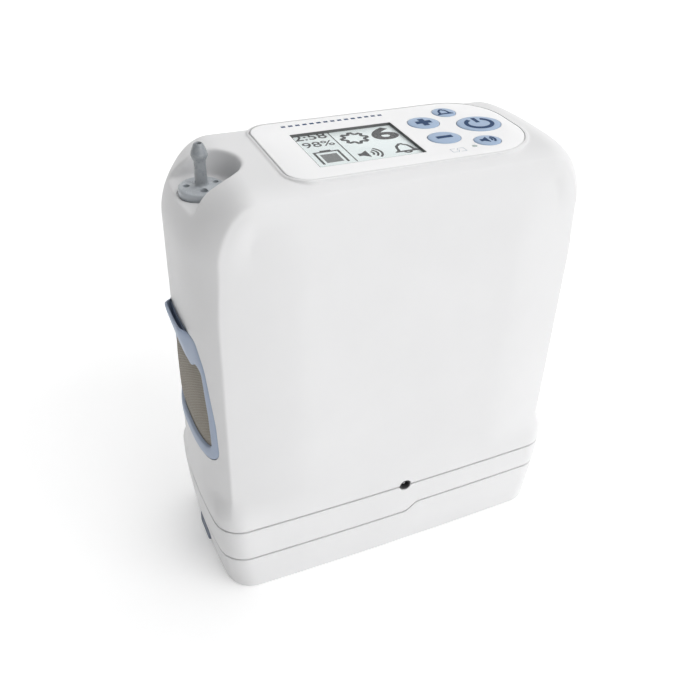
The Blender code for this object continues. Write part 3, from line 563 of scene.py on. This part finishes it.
def contour(angles, heights, inset=0.0, field=body_field):
    """Points on the surface, moved in by inset, in each direction from the mid axis at a height.

    The height is a number or a function of x."""
    height = heights if callable(heights) else flat(heights)
    low, high = np.full(len(angles), 20.0), np.full(len(angles), 130.0)
    for _ in range(34):
        mid = (low + high) / 2
        x = mid * np.cos(angles)
        out = field(x, mid * np.sin(angles), height(x)) > -inset
        high = np.where(out, mid, high)
        low = np.where(out, low, mid)
    r = (low + high) / 2
    x, y = r * np.cos(angles), r * np.sin(angles)
    return [tuple(p) for p in np.stack([x, y, height(x)], axis=1)]


def flat(z):
    """A height that is the same at every x."""
    return lambda x: np.full_like(x, z)


def even_angles(z, count):
    """Directions whose contour points are evenly spaced along the outline, the same on both sides."""
    fine = np.linspace(0, math.pi, 2000)
    pts = np.array(contour(fine, z))
    run = np.concatenate([[0], np.cumsum(np.linalg.norm(np.diff(pts[:, :2], axis=0), axis=1))])
    half = np.interp(np.linspace(0, run[-1], count + 1), run, fine)
    return np.concatenate([half, 2 * math.pi - half[-2:0:-1]])


# ---- enclosure ----
def mirrored(half, per_corner):
    """Rounded outline from the corners of its right half, listed upwards."""
    left = [(-y, z, r) for y, z, r in half]
    return rounded_outline([left[0]] + half + left[:0:-1], per_corner)


def filter_outline(grow=0.0, per_corner=12):
    low, high = FILTER_Z[0] - grow, FILTER_Z[1] + grow
    half = [(29.8 + grow, low, 8.0 + grow), (29.0 + grow, 100.0, 60.0),
            (24.8 + grow, 128.0 + grow / 2, 25.0), (19.5 + grow / 2, high, 5.0 + grow)]
    return mirrored(half, per_corner)


def panel_outline(grow=0.0):
    left, right, near, far = PANEL_X[0] - grow, PANEL_X[1] + grow, PANEL_Y[0] - grow, PANEL_Y[1] + grow
    small, large = (r + grow for r in PANEL_R)
    return rounded_outline([(left, near, small), (right, near, large), (right, far, large),
                            (left, far, small)], 14)


def skin_to_bmesh(points, faces):
    bm = bmesh.new()
    verts = [bm.verts.new(p) for p in points]
    for face in faces:
        bm.faces.new([verts[i] for i in face])
    return bm


def boundary_loop(bm):
    edges = [e for e in bm.edges if e.is_boundary]
    start = edges[0].verts[0]
    loop = [start]
    edge = next(e for e in start.link_edges if e.is_boundary)
    while True:
        nxt = edge.other_vert(loop[-1])
        if nxt is start:
            return loop
        loop.append(nxt)
        edge = next(e for e in nxt.link_edges if e.is_boundary and e is not edge)


def add_ring(bm, previous, points):
    """Join a new ring of points to the last ring of a bmesh."""
    ring = [bm.verts.new(p) for p in points]
    bridge(bm, previous, ring)
    return ring


def inner_field(x, y, z):
    """The room inside the enclosure: negative in the space."""
    return np.maximum(shell_field(x, y, z) + WALL, z - (HEIGHT - 4.0))


def make_room():
    """Cutter for the inside of the enclosure, carried down past its open foot."""
    bm = skin_to_bmesh(*net(steps((-93, 93, 3.1)), steps((-43, 43, 2.9)),
                            steps((36, 176, 7.0), (176, 205, 2.4)), inner_field))
    low = boundary_loop(bm)
    bm.faces.new(low)
    for v in low:
        v.co.z = 35.0
    return link("cut_room", bm)


def make_shell():
    fine = 1.0
    xs = steps((-93, -88, 0.6 * fine), (-88, -56, 0.6 * fine), (-56, 66, 1.0 * fine), (66, 93, 0.8 * fine))
    ys = steps((-43, 43, 0.72 * fine))
    zs = steps((SKIN_FLOOR, 176, 3.0 * fine), (176, 192, 0.9 * fine), (192, 203, 0.55 * fine),
               (203, 208.5, 0.28 * fine))
    points, faces = net(xs, ys, zs, shell_field)
    bm = skin_to_bmesh(project(points, shell_field), faces)
    ring = boundary_loop(bm)
    angles = np.array([math.atan2(v.co.y, v.co.x) for v in ring])
    for z in (66, 62, 59, 56.5, 54, 51.5, 49, 47, 45, 43, 41.6):
        ring = add_ring(bm, ring, contour(angles, z, 0.0, shell_field))
    for height, inset in rim(flat(SEAM_UPPER + SEAM_GAP / 2), False):
        ring = add_ring(bm, ring, contour(angles, height, inset, shell_field))
    bm.faces.new(ring)
    shell = link("enclosure", bm)

    seat = [(x - 0.5 if x < -40 else x, y) for x, y in panel_outline(0.3)]
    key_well = [(17.4, -24.6, 1.5), (62.0, -24.6, 18.0), (62.0, 25.4, 18.0), (17.4, 25.4, 1.5)]
    cutters = [make_room(),
               prism("cut_seat", seat, PANEL_TOP - PANEL_T - 0.3, 215.0),
               slab("cut_display", (-37.6, -22.5, 198.0), (14.6, 18.0, ABOVE)),
               prism("cut_keys", rounded_outline(key_well, 6), 198.0, ABOVE),
               rod("cut_seat_flange", 9.9, FLANGE_TOP - 3.2, 205.0, (NOZZLE_X, 0.0), count=72),
               rod("cut_spigot", 7.0, 180.0, 200.0, (NOZZLE_X, 0.0)),
               rod("cut_jack", JACK_R + 0.25, -60.0, -30.0, JACK, "Y", 40),
               prism("cut_grille", box_outline((-32, 32), (50, 70), 4, 6), 30.0, 60.0, "Y")]
    for low_x, high_x in ((-110, -70), (70, 110)):
        cutters.append(prism("cut_window", filter_outline(0.3), low_x, high_x, "X"))
    cut(shell, cutters)
    return dress(shell, "shell", "housing", ["upper_shell"], 28)


def seam_height(offset):
    """Height of the stepped lower seam at each x, its corners slightly eased."""
    def height(x):
        t = np.clip((x - STEP_X[0]) / (STEP_X[1] - STEP_X[0]), 0.0, 1.0)
        eased = 0.75 * t + 0.25 * t * t * (3 - 2 * t)
        return SEAM_LOWER + (SEAM_LOWER_RIGHT - SEAM_LOWER) * eased + offset
    return height


def shifted(height, dz):
    return lambda x: height(x) + dz


def bridge_sides(bm, ring):
    """Close a ring that is the same on both sides with strips across the depth."""
    n = len(ring)
    for i in range(n // 2):
        quad = [ring[i], ring[(i + 1) % n], ring[(n - i - 1) % n], ring[(n - i) % n]]
        unique = list(dict.fromkeys(quad))
        if len(unique) >= 3:
            bm.faces.new(unique)


def wall_piece(name, rings):
    bm = loft(rings, caps=False)
    verts, count = list(bm.verts), len(rings[0])
    bridge_sides(bm, verts[:count])
    bridge_sides(bm, verts[-count:])
    return link(name, bm)


def rim(edge_height, upper):
    """(height, inset) pairs that round the rim of a wall at a seam."""
    pairs = []
    for k in range(5):
        a = math.pi / 2 * k / 4
        dz = SEAM_BREAK * (1 - math.sin(a))
        pairs.append((shifted(edge_height, -dz if upper else dz), SEAM_BREAK * (1 - math.cos(a))))
    return pairs


def make_base(angles):
    gap = SEAM_GAP / 2
    low_rim, top = seam_height(gap), SEAM_UPPER - gap

    def deck(x):
        return np.maximum(low_rim(x), DECK_Z + 0.5)

    def part_way(share):
        return lambda x: low_rim(x) + 0.5 + (SEAM_UPPER - 1.5 - low_rim(x)) * share
    rings = [contour(angles, deck, WALL), contour(angles, low_rim, WALL)]
    rings += [contour(angles, h, i) for h, i in reversed(rim(low_rim, False))]
    rings += [contour(angles, part_way(share)) for share in (0.3, 0.6, 0.85)]
    rings += [contour(angles, h, i) for h, i in rim(flat(top), True)]
    rings += [contour(angles, top, WALL), contour(angles, DECK_TOP, WALL)]
    base = wall_piece("base", rings)
    cutters = [rod("cut_base_jack", JACK_R + 0.25, -60.0, -30.0, JACK, "Y", 40),
               slab("cut_socket", (-61.0, -9.0, 20.0), (-29.0, 9.0, 35.0))]
    for x in (-SCREW_X, SCREW_X):
        for y in (-SCREW_Y, SCREW_Y):
            cutters.append(rod("cut_bore", 3.6, 20.0, 26.4, (x, y), count=32))
            cutters.append(rod("cut_hole", 1.7, 20.0, 40.0, (x, y), count=24))
    cut(base, cutters)
    dress(base, "shell", "housing", ["base_housing"])


def make_battery(angles):
    high_rim = seam_height(-SEAM_GAP / 2)

    def part_way(share):
        return lambda x: 3.6 + (high_rim(x) - 4.6) * share
    under = ((0.35, 3.0), (0.35, 0.9), (0.42, 0.55), (0.62, 0.25), (0.95, 0.06), (1.4, 0.0), (3.6, 0.0))
    rings = [contour(angles, z, inset) for z, inset in under]
    rings += [contour(angles, part_way(share)) for share in (0.3, 0.6, 0.9)]
    rings += [contour(angles, h, i) for h, i in rim(high_rim, True)]
    rings += [contour(angles, high_rim, WALL), contour(angles, 2.6, WALL + 2.6)]
    case = wall_piece("battery", rings)
    cutters = [prism("cut_latch", box_outline((-7.8, 7.8), (6.2, 14.3), 1.4, 5), -100.0, -80.0, "X")]
    for x in (-FOOT_X, FOOT_X):
        cutters.append(slab("cut_foot", (x - 12.3, -30.3, -1.0), (x + 12.3, 30.3, 1.5)))
    cut(case, cutters)
    dress(case, "shell", "battery_pack", ["battery_case"])


make_shell()
SEAM_ANGLES = even_angles(30.0, 230)
make_base(SEAM_ANGLES)
make_battery(SEAM_ANGLES)


# ---- control panel ----
def display_outline(grow, radius=0.5):
    return box_outline(DISPLAY_X, DISPLAY_Y, radius, 4, grow)


def make_panel():
    bottom = PANEL_TOP - PANEL_T
    panel = soft_prism("panel", panel_outline(), bottom, PANEL_TOP, 0.35)
    cutters = [prism("cut_window", display_outline(GASKET_RIM + 0.05), BELOW, ABOVE)]
    for key, (x, y, rx, ry) in KEYS.items():
        cutters.append(prism("cut_" + key, oval(rx + 0.3, ry + 0.3, KEY_POINTS, (x, y)), BELOW, ABOVE))
    cutters.append(rod("cut_lamp", 1.2, BELOW, ABOVE, LAMP))
    cut(panel, cutters)
    dress(panel, "panel", "housing", ["control_panel"])

    gasket = soft_prism("gasket", display_outline(GASKET_RIM), bottom + 0.05, PANEL_TOP - 0.05, 0.05)
    (x0, x1), (y0, y1) = DISPLAY_X, DISPLAY_Y
    cut(gasket, [slab("cut_gasket", (x0, y0, BELOW), (x1, y1, ABOVE))])
    dress(gasket, "gasket", "housing", ["display_gasket"])

    module = soft_prism("lcd", display_outline(1.0), 200.4, LCD_FACE, 0.1)
    dress(module, "lcd", "housing", ["display_module"])
    film = soft_prism("window", display_outline(2.2, 1.0), LCD_FACE + 0.05, LCD_FACE + 0.1, 0.01)
    dress(film, "glass", "housing", ["display_window"])
    lamp = turned("lamp", [(0.001, 203.0), (0.95, 203.0), (0.95, PANEL_TOP - 0.1), (0.7, PANEL_TOP + 0.05),
                           (0.35, PANEL_TOP + 0.1), (0.001, PANEL_TOP + 0.1)], LAMP, count=24)
    dress(lamp, "lamp", "housing", ["indicator_lamp"])


INK = 0.03


def strip_rings(points, width, low, high, closed):
    """Cross-sections of a flat stroke along a line of (x, y) points, with mitred corners."""
    rings = []
    n = len(points)
    for i, p in enumerate(points):
        here = Vector(p)
        a = (here - Vector(points[i - 1])).normalized()
        b = (Vector(points[(i + 1) % n]) - here).normalized()
        if not closed and i == 0:
            a = b
        if not closed and i == n - 1:
            b = a
        mid = (a + b).normalized()
        side = Vector((-mid.y, mid.x)) * (width / 2 / max(0.4, mid.dot(a)))
        l, r = here + side, here - side
        rings.append([(l.x, l.y, low), (r.x, r.y, low), (r.x, r.y, high), (l.x, l.y, high)])
    return rings


def join_into(bm, other):
    """Copy one bmesh into another."""
    mesh = bpy.data.meshes.new("part")
    other.to_mesh(mesh)
    other.free()
    bm.from_mesh(mesh)
    bpy.data.meshes.remove(mesh)


class Print:
    """Flat printed marks gathered into one thin mesh."""

    def __init__(self, name, low, thick=INK, shift=(0.0, 0.0)):
        self.bm, self.name, self.low, self.high = bmesh.new(), name, low, low + thick
        self.shift = shift

    def stroke(self, points, width, closed=False):
        rings = strip_rings(points, width, self.low, self.high, closed)
        join_into(self.bm, loft(rings, ring=closed))

    def fill(self, outline):
        join_into(self.bm, loft([[(x, y, z) for x, y in outline] for z in (self.low, self.high)]))

    def block(self, x0, y0, x1, y1):
        self.fill([(x0, y0), (x1, y0), (x1, y1), (x0, y1)])

    def text(self, words, centre, size, wide=1.0, bold=0.0):
        curve = bpy.data.curves.new("words", "FONT")
        curve.body = words
        curve.size = size
        curve.offset = bold
        curve.extrude = (self.high - self.low) / 2
        curve.resolution_u = 6
        obj = place("words", curve)
        graph = bpy.context.evaluated_depsgraph_get()
        mesh = bpy.data.meshes.new_from_object(obj.evaluated_get(graph))
        xs, ys = ([v.co[k] for v in mesh.vertices] for k in (0, 1))
        mid_x, mid_y = ((min(line) + max(line)) / 2 for line in (xs, ys))
        for v in mesh.vertices:
            x, y, z = v.co
            v.co = ((x - mid_x) * wide + centre[0], y - mid_y + centre[1], z + (self.low + self.high) / 2)
        self.bm.from_mesh(mesh)
        bpy.data.objects.remove(obj)
        bpy.data.meshes.remove(mesh)

    def done(self, mat, body):
        bmesh.ops.translate(self.bm, verts=self.bm.verts, vec=(*self.shift, 0.0))
        return dress(link(self.name, self.bm), mat, body, sharp=20)


def arc(centre, rx, ry, start, end, count=14):
    """Points along an oval from one angle to another, in degrees."""
    turns = [math.radians(start + (end - start) * k / count) for k in range(count + 1)]
    return [(centre[0] + rx * math.cos(a), centre[1] + ry * math.sin(a)) for a in turns]


def bell_points(cx, cy, s):
    """Outline of a bell, its mouth at the bottom."""
    half = [(4.6, -3.2), (3.4, -1.9), (3.1, 0.6), (2.5, 2.5), (1.2, 3.6), (0.6, 4.4)]
    right = [(cx + x * s, cy + y * s) for x, y in half]
    return right + [(cx - (x - cx), y) for x, y in reversed(right)]


def speaker(pen, cx, cy, s, waves, width):
    """A loudspeaker sign with a number of sound waves."""
    cone = [(-3.6, -1.1), (-2.0, -1.1), (0.4, -3.0), (0.4, 3.0), (-2.0, 1.1), (-3.6, 1.1)]
    pen.fill([(cx + x * s, cy + y * s) for x, y in cone])
    for k in range(waves):
        r = (1.7 + 1.55 * k) * s
        pen.stroke(arc((cx + 0.7 * s, cy), r, r * 1.05, -52, 52, 10), width)


def make_display_marks():
    shift = (1.3, 2.8)
    pen = Print("lcd_marks", LCD_FACE + 0.01, shift=shift)
    pen.text("2:58", (-27.6, 10.4), 8.2, 1.06, 0.08)
    pen.text("98%", (-26.9, 2.2), 7.4, 1.12, 0.05)
    pen.block(-18.9, -19.0, -18.4, 12.5)
    bx, by = -27.0, -11.6
    case = [(bx - 5.2, by - 6.2), (bx - 5.2, by + 5.4), (bx + 5.2, by + 5.4), (bx + 5.2, by - 6.2)]
    pen.stroke(case, 1.0)
    pen.block(bx - 2.4, by + 5.9, bx + 2.4, by + 7.0)
    gear = []
    points = 32
    for k in range(points):
        a = 2 * math.pi * (k - 0.5) / points
        r = 5.7 if k % 4 in (0, 1) else 4.3
        gear.append((-10.1 + r * math.cos(a), 3.4 + r * math.sin(a)))
    pen.stroke(gear, 1.45, True)
    pen.text("6", (3.7, 4.2), 17.0, 1.42, 0.55)
    speaker(pen, -11.8, -13.6, 1.12, 3, 0.95)
    pen.stroke(bell_points(5.2, -12.8, 0.98), 1.2, True)
    pen.stroke(arc((5.2, -16.3), 1.5, 1.3, 190, 350, 8), 1.1)
    pen.done("ink_grey", "housing")
    charge = Print("lcd_charge", LCD_FACE + 0.01, shift=shift)
    charge.block(bx - 3.6, by - 5.2, bx + 3.6, by + 3.0)
    charge.done("ink_mid", "housing")

    rule = Print("panel_rule", PANEL_TOP, 0.02)
    start, end, dashes = -34.9, 13.6, 15
    pitch = (end - start) / dashes
    for k in range(dashes):
        rule.block(start + k * pitch, 23.6, start + (k + 0.6) * pitch, 25.1)
    rule.done("ink_navy", "housing")
    faint = Print("panel_plug_mark", PANEL_TOP, 0.02)
    for line, width in (([(22.2, -23.6), (22.2, -20.4), (24.4, -20.4)], 0.35),
                        ([(22.2, -23.6), (24.4, -23.6)], 0.35),
                        ([(26.0, -23.6), (28.4, -23.6), (28.4, -20.4), (26.0, -20.4)], 0.35),
                        ([(25.9, -20.0), (24.8, -22.0), (25.7, -22.0), (24.6, -24.0)], 0.3)):
        faint.stroke(line, width)
    faint.done("ink_pale", "housing")


def plus_outline(x, y, reach, half_width):
    quarter = [(reach, half_width), (half_width, half_width), (half_width, reach)]
    points = []
    for _ in range(4):
        points += quarter
        quarter = [(-v, u) for u, v in quarter]
    return [(x + u, y + v) for u, v in points]


def make_keys():
    for name, (x, y, rx, ry) in KEYS.items():
        rings = []
        for rise, inset in KEY_EDGE:
            rings.append((rx - inset, ry - inset, PANEL_TOP + rise))
        rise, inset = KEY_EDGE[-1]
        for share in (0.8, 0.6, 0.4, 0.2):
            z = PANEL_TOP + rise + KEY_CROWN * (1 - share ** 2)
            rings.append(((rx - inset) * share, (ry - inset) * share, z))
        cap = loft([[(px, py, z) for px, py in oval(a, b, KEY_POINTS, (x, y))] for a, b, z in rings])
        dress(link(name + "_cap", cap), "key", name, [name])
        pen = Print(name + "_mark", PANEL_TOP + 0.30, 0.17)
        if name == "key_plus":
            pen.fill(plus_outline(x, y, 3.7, 1.35))
        elif name == "key_minus":
            pen.block(x - 3.7, y - 1.15, x + 3.7, y + 1.15)
        elif name == "key_bell":
            pen.stroke(bell_points(x - 0.5, y - 0.3, 0.63), 1.0, True)
        elif name == "key_speaker":
            speaker(pen, x - 0.2, y, 0.9, 2, 1.0)
        else:
            pen.stroke(arc((x, y - 0.3), 6.0, 5.0, 118, 422, 40), 1.9)
            pen.stroke([(x, y + 0.6), (x, y + 5.9)], 1.9)
        pen.done("ink_navy", name)


# ---- filters ----
def side_x(y):
    return HALF_W - (SIDE_SAG - SIDE_SAG_LOSS) * min(1.0, abs(y) / CREASE_Y) ** SIDE_POWER


def ray_radius(outline, centre, angle):
    """Distance from centre to a closed outline in one direction."""
    c, s = math.cos(angle), math.sin(angle)
    best = 0.0
    for (ax, ay), (bx, by) in zip(outline, outline[1:] + outline[:1]):
        ax, ay, bx, by = ax - centre[0], ay - centre[1], bx - centre[0], by - centre[1]
        da, db = ax * s - ay * c, bx * s - by * c
        if (da > 0) != (db > 0):
            t = da / (da - db)
            best = max(best, (ax + (bx - ax) * t) * c + (ay + (by - ay) * t) * s)
    return best


def pull_flare(y, z):
    """How far the head of the filter frame leans out as a pull tab, and how far it arches up."""
    across = smoothstep((16.5 - abs(y)) / 6.5)
    lean = 3.5 * max(0.0, (z - 125.0) / 15.0) ** 1.35
    return lean * across, 1.3 * smoothstep((z - 133.0) / 7.0) * across


def screen_bulge(y, z, opening):
    """The screen swells gently outwards in the opening of its frame."""
    low, high = ray_span(opening, min(122.0, max(84.0, z)))
    across = max(0.0, 1 - (y / (high - 1.0)) ** 4)
    up = max(0.0, 1 - ((z - 104.0) / 19.0) ** 4)
    return 1.5 * across * up


def bowed_plate(name, side, outline, span, depths, bulge=None):
    """A plate that follows the end band, given as a (y, z) outline and the depths of its two faces."""
    bm = bmesh.new()
    lines = 48
    sheets = ([], [])
    for i in range(lines + 1):
        z = span[0] + (span[1] - span[0]) * i / lines
        low, high = ray_span(outline, z)
        for sheet, depth in zip(sheets, depths):
            line = []
            for c in range(lines + 1):
                y = low + (high - low) * c / lines
                out = side_x(y) + depth + (bulge(y, z) if bulge else 0.0)
                line.append(bm.verts.new((side * out, y, z)))
            sheet.append(line)
    front, back = sheets
    for sheet in sheets:
        for low, high in zip(sheet, sheet[1:]):
            strip(bm, low, high)
    edges = [(front[k], back[k]) for k in (0, -1)]
    edges += [([row[k] for row in front], [row[k] for row in back]) for k in (0, -1)]
    for near, far in edges:
        strip(bm, near, far)
    return link(name, bm)


def make_filter(side):
    word = "right" if side > 0 else "left"
    centre = (0.0, FILTER_MID)
    outer = filter_outline(0.0, 14)
    opening = mirrored([(25.2, 83.5, 4), (24.4, 104.0, 50), (22.4, 127.0, 4), (16.5, 125.8, 3),
                        (13.0, 122.4, 4)], 8)
    # (share of the way from the frame's outside to its opening, height over the end band)
    profile = [(0.0, -1.1), (0.0, -0.5), (0.02, -0.1), (0.07, 0.22), (0.16, 0.38), (0.35, 0.42), (0.6, 0.40),
               (0.78, 0.28), (0.88, 0.0), (0.93, -0.4), (0.955, -0.8), (1.0, -1.1)]
    rays = 300
    loops = []
    for k in range(rays):
        a = 2 * math.pi * k / rays
        ro, ri = ray_radius(outer, centre, a), ray_radius(opening, centre, a)
        loop = []
        for u, h in profile:
            r = ro + (ri - ro) * u
            y, z = centre[0] + r * math.cos(a), centre[1] + r * math.sin(a)
            lift, arch = pull_flare(y, z)
            loop.append((side * min(TAB_X, side_x(y) + h + lift), y, z + arch))
        loops.append(loop)
    name = f"filter_{word}"
    rim_piece = link(name + "_frame", loft(loops, ring=True))
    dress(rim_piece, "filter", name, [f"filter_frame_{word}"], 40)

    backing = mirrored([(27.0, 81.0, 5), (26.2, 104.0, 50), (23.0, 133.0, 5)], 8)
    screen = bowed_plate(name + "_screen", side, backing, (81.0, 133.0), (-1.4, -2.6),
                         lambda y, z: screen_bulge(y, z, opening))
    dress(screen, "screen", name, [f"filter_mesh_{word}"])
    bed = mirrored([(17.0, 126.0, 3), (15.5, 139.2, 3)], 6)
    plate = bowed_plate(name + "_bed", side, bed, (126.0, 139.2), (0.2, -1.3))
    dress(plate, "filter", name)


def ray_span(outline, z):
    """Lowest and highest y of a closed (y, z) outline at one height."""
    hits = []
    for (ay, az), (by, bz) in zip(outline, outline[1:] + outline[:1]):
        if (az > z) != (bz > z):
            hits.append(ay + (by - ay) * (z - az) / (bz - az))
    if len(hits) < 2:
        near = sorted(outline, key=lambda p: abs(p[1] - z))[:4]
        hits = [p[0] for p in near]
    return min(hits), max(hits)


# ---- nozzle, inlet and small parts ----
def make_nozzle():
    top, tip = FLANGE_TOP, NOZZLE_TIP
    profile = [(1.05, tip - 0.5), (1.15, tip - 0.15), (1.35, tip), (1.6, tip - 0.05), (1.8, tip - 0.3),
               (2.05, tip - 0.8), (2.35, tip - 1.4), (2.65, tip - 2.1), (2.95, tip - 3.0), (3.2, tip - 3.9),
               (3.32, tip - 4.5), (3.25, tip - 4.95), (3.0, tip - 5.6), (2.7, tip - 6.4), (2.45, tip - 6.9),
               (2.35, tip - 7.1), (2.3, tip - 7.5), (2.35, tip - 10.5), (2.4, top + 4.0), (2.5, top + 2.2),
               (2.7, top + 1.3), (3.1, top + 0.85), (4.1, top + 0.72), (4.5, top + 0.5), (8.2, top + 0.5),
               (8.7, top + 0.4), (9.0, top + 0.1), (9.15, top - 0.4), (9.2, top - 1.0), (9.2, top - 2.5),
               (9.0, top - 2.95), (8.7, top - 3.0), (5.0, top - 3.0), (5.0, 187.9), (4.7, 187.6),
               (1.05, 187.6)]
    centre = (NOZZLE_X, 0.0)
    nozzle = turned("nozzle", profile, centre, count=88)
    holes = [rod("cut_hole", r, top - 1.6, top + 4, (NOZZLE_X + dx, dy), count=32)
             for dx, dy, r in ((-5.6, 1.6, 1.3), (6.2, 1.8, 1.15), (-0.3, -4.9, 1.5))]
    cut(nozzle, holes)
    dress(nozzle, "nozzle", "nozzle", ["outlet_nozzle"], 42)


def make_jack():
    profile = [(2.85, -40.0), (2.75, -40.3), (2.55, -40.4), (2.35, -40.3), (2.15, -39.95), (2.15, -33.0),
               (1.2, -33.0), (1.2, -31.0), (2.85, -31.0)]
    dress(turned("jack", profile, JACK, "Y"), "black", "housing", ["dc_jack"])
    profile = [(0.001, -39.0), (0.35, -38.95), (0.65, -38.7), (0.8, -38.3), (0.8, -31.5), (0.001, -31.5)]
    dress(turned("jack_pin", profile, JACK, "Y", 32), "steel", "housing", ["dc_jack_pin"])


def make_latch():
    outline = box_outline((-7.5, 7.5), (6.5, 14.0), 1.2, 6)
    loops = []
    for x, d in ((-84.2, 0.0), (-88.5, 0.0), (-89.0, 0.15), (-89.3, 0.45), (-89.5, 1.0)):
        loops.append([(x, y, z) for y, z in inset_outline(outline, d)])
    latch = link("latch", loft(loops))
    ribs = [slab("rib", (-95.0, -5.6 + 1.8 * k, 8.0), (-89.2, -4.9 + 1.8 * k, 12.5)) for k in range(7)]
    cut(latch, ribs)
    dress(latch, "latch", "battery_latch", ["battery_latch"])


def make_feet():
    for x, word in ((-FOOT_X, "left"), (FOOT_X, "right")):
        outline = box_outline((x - 12, x + 12), (-30, 30), 2, 5)
        foot = soft_prism("pad_" + word, outline, 0.0, 1.2, 0.2, bottom=0.3)
        dress(foot, "rubber", "battery_pack", ["foot_" + word])


def make_grille():
    outline = box_outline((-31.7, 31.7), (50.3, 69.7), 3.7, 6)
    grille = link("grille", loft([[(x, y, z) for x, z in inset_outline(outline, d)]
                                  for y, d in ((38.0, 0.0), (40.0, 0.0), (40.2, 0.1), (40.3, 0.35))]))
    bars = []
    for i in range(5):
        z = 53.2 + i * 3.4
        bars.append(prism("louvre", box_outline((-28, 28), (z - 0.9, z + 0.9), 0.85, 5), 30, 50, "Y"))
    cut(grille, bars)
    dress(grille, "shell", "housing", ["exhaust_grille"])


make_panel()
make_display_marks()
make_keys()
make_filter(-1)
make_filter(1)
make_nozzle()
make_jack()
make_latch()
make_feet()
make_grille()

# ---- carried-over CAD pieces: their own finishes ----
FRONT_REAR, LEFT_RIGHT = ("front", "rear"), ("left", "right")


def each(stem, words):
    return [f"{stem}_{word}" for word in words]


INNER = {
    "board": ["keypad_board", "main_board"],
    "rubber": ["nozzle_seal", *each("compressor_mount", FRONT_REAR)],
    "felt": ["output_filter"],
    "aluminium": ["chassis", "crankcase", *each("cylinder_head", LEFT_RIGHT), *each("piston", LEFT_RIGHT),
                  *each("sieve_column", FRONT_REAR), "product_tank", "valve_manifold"],
    "steel": ["motor_can", "crankshaft", *each("valve_plunger", FRONT_REAR),
              *each("chassis_screw_left", FRONT_REAR), *each("chassis_screw_right", FRONT_REAR)],
    "copper": [*each("valve_coil", FRONT_REAR), "cooling_coil"],
    "brass": ["battery_contacts"],
    "black": ["fan_frame", "pressure_sensor", "battery_socket"],
    "grey": ["fan_rotor", "sieve_manifold", "battery_cover"],
    "tube": ["outlet_tube"],
    "wrap": ["cell_pack"],
}
for finish, names in INNER.items():
    for node in names:
        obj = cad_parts[node]
        obj.data.materials.clear()
        obj.data.materials.append(MATS[finish])


# ---- floor, light and camera ----
FLOOR_HALF = 30000.0
WALL_Y, WALL_TOP, WALL_HALF = (1500.0, 3500.0), 1800.0, 5000.0
FLOOR_GLOW, ROOM_GLOW = 0.22, 0.06
CAMERA_TURN, CAMERA_TILT, CAMERA_ROLL = -26.95, 35.18, 3.15
CAMERA_PLACE = (-0.14793, -0.29771, 0.33880)
LENS, SHIFT = 42.75, (-0.0372, -0.0154)


def make_floor():
    bm = bmesh.new()
    lines = np.linspace(-FLOOR_HALF, FLOOR_HALF, 25)
    rows = []
    for y in (*np.linspace(-FLOOR_HALF, -3000.0, 9), *np.linspace(-2000.0, WALL_Y[1], 36)):
        rise = WALL_TOP * max(0.0, (y - WALL_Y[0]) / (WALL_Y[1] - WALL_Y[0])) ** 2.2
        rows.append([bm.verts.new((x, y, rise if abs(x) <= WALL_HALF else 0.0)) for x in lines])
    for near, far in zip(rows, rows[1:]):
        strip(bm, near, far)
    floor = link("floor", bm)
    mat, tree, shader = material("floor_pale", (0.92, 0.92, 0.92), 0.7)
    shader.inputs["Emission Color"].default_value = (1.0, 1.0, 1.0, 1.0)
    shader.inputs["Emission Strength"].default_value = FLOOR_GLOW
    cloud = ramp(tree, noise(tree, 3.0, 3.0), ((0.3, (0.915, 0.915, 0.915)), (0.7, (0.925, 0.925, 0.925))))
    tree.links.new(cloud, shader.inputs["Base Color"])
    floor.data.materials.append(mat)
    floor.data.shade_smooth()


def soft_sun(name, direction, angle, energy):
    sun = bpy.data.lights.new(name, "SUN")
    sun.energy = energy
    sun.angle = math.radians(angle)
    obj = place(name, sun)
    obj.rotation_mode = "QUATERNION"
    obj.rotation_quaternion = Vector(direction).to_track_quat("Z", "Y")


def make_light():
    world = bpy.data.worlds.new("studio")
    world.use_nodes = True
    shade = world.node_tree.nodes["Background"]
    shade.inputs["Color"].default_value = (1.0, 1.0, 1.0, 1.0)
    shade.inputs["Strength"].default_value = ROOM_GLOW
    bpy.context.scene.world = world
    soft_sun("key", (0.45, -0.78, 0.42), 60.0, 1.55)
    soft_sun("top", (0.40, 0.08, 1.0), 90.0, 2.16)


def make_camera():
    azimuth, elevation, roll = (math.radians(a) for a in (CAMERA_TURN, CAMERA_TILT, CAMERA_ROLL))
    back = Vector((math.sin(azimuth) * math.cos(elevation), -math.cos(azimuth) * math.cos(elevation),
                   math.sin(elevation)))
    right = (-back).cross(Vector((0, 0, 1))).normalized()
    up = right.cross(-back)
    right, up = (right * math.cos(roll) + up * math.sin(roll), up * math.cos(roll) - right * math.sin(roll))
    data = bpy.data.cameras.new("camera")
    data.sensor_width = 36.0
    data.lens = LENS
    data.shift_x, data.shift_y = SHIFT
    data.clip_start, data.clip_end = 0.01, 50.0
    camera = place("camera", data)
    matrix = Matrix((right, up, back)).transposed().to_4x4()
    matrix.translation = Vector(CAMERA_PLACE)
    camera.matrix_world = matrix
    bpy.context.scene.camera = camera


make_floor()
make_light()
make_camera()
bpy.context.scene.view_settings.view_transform = "Standard"
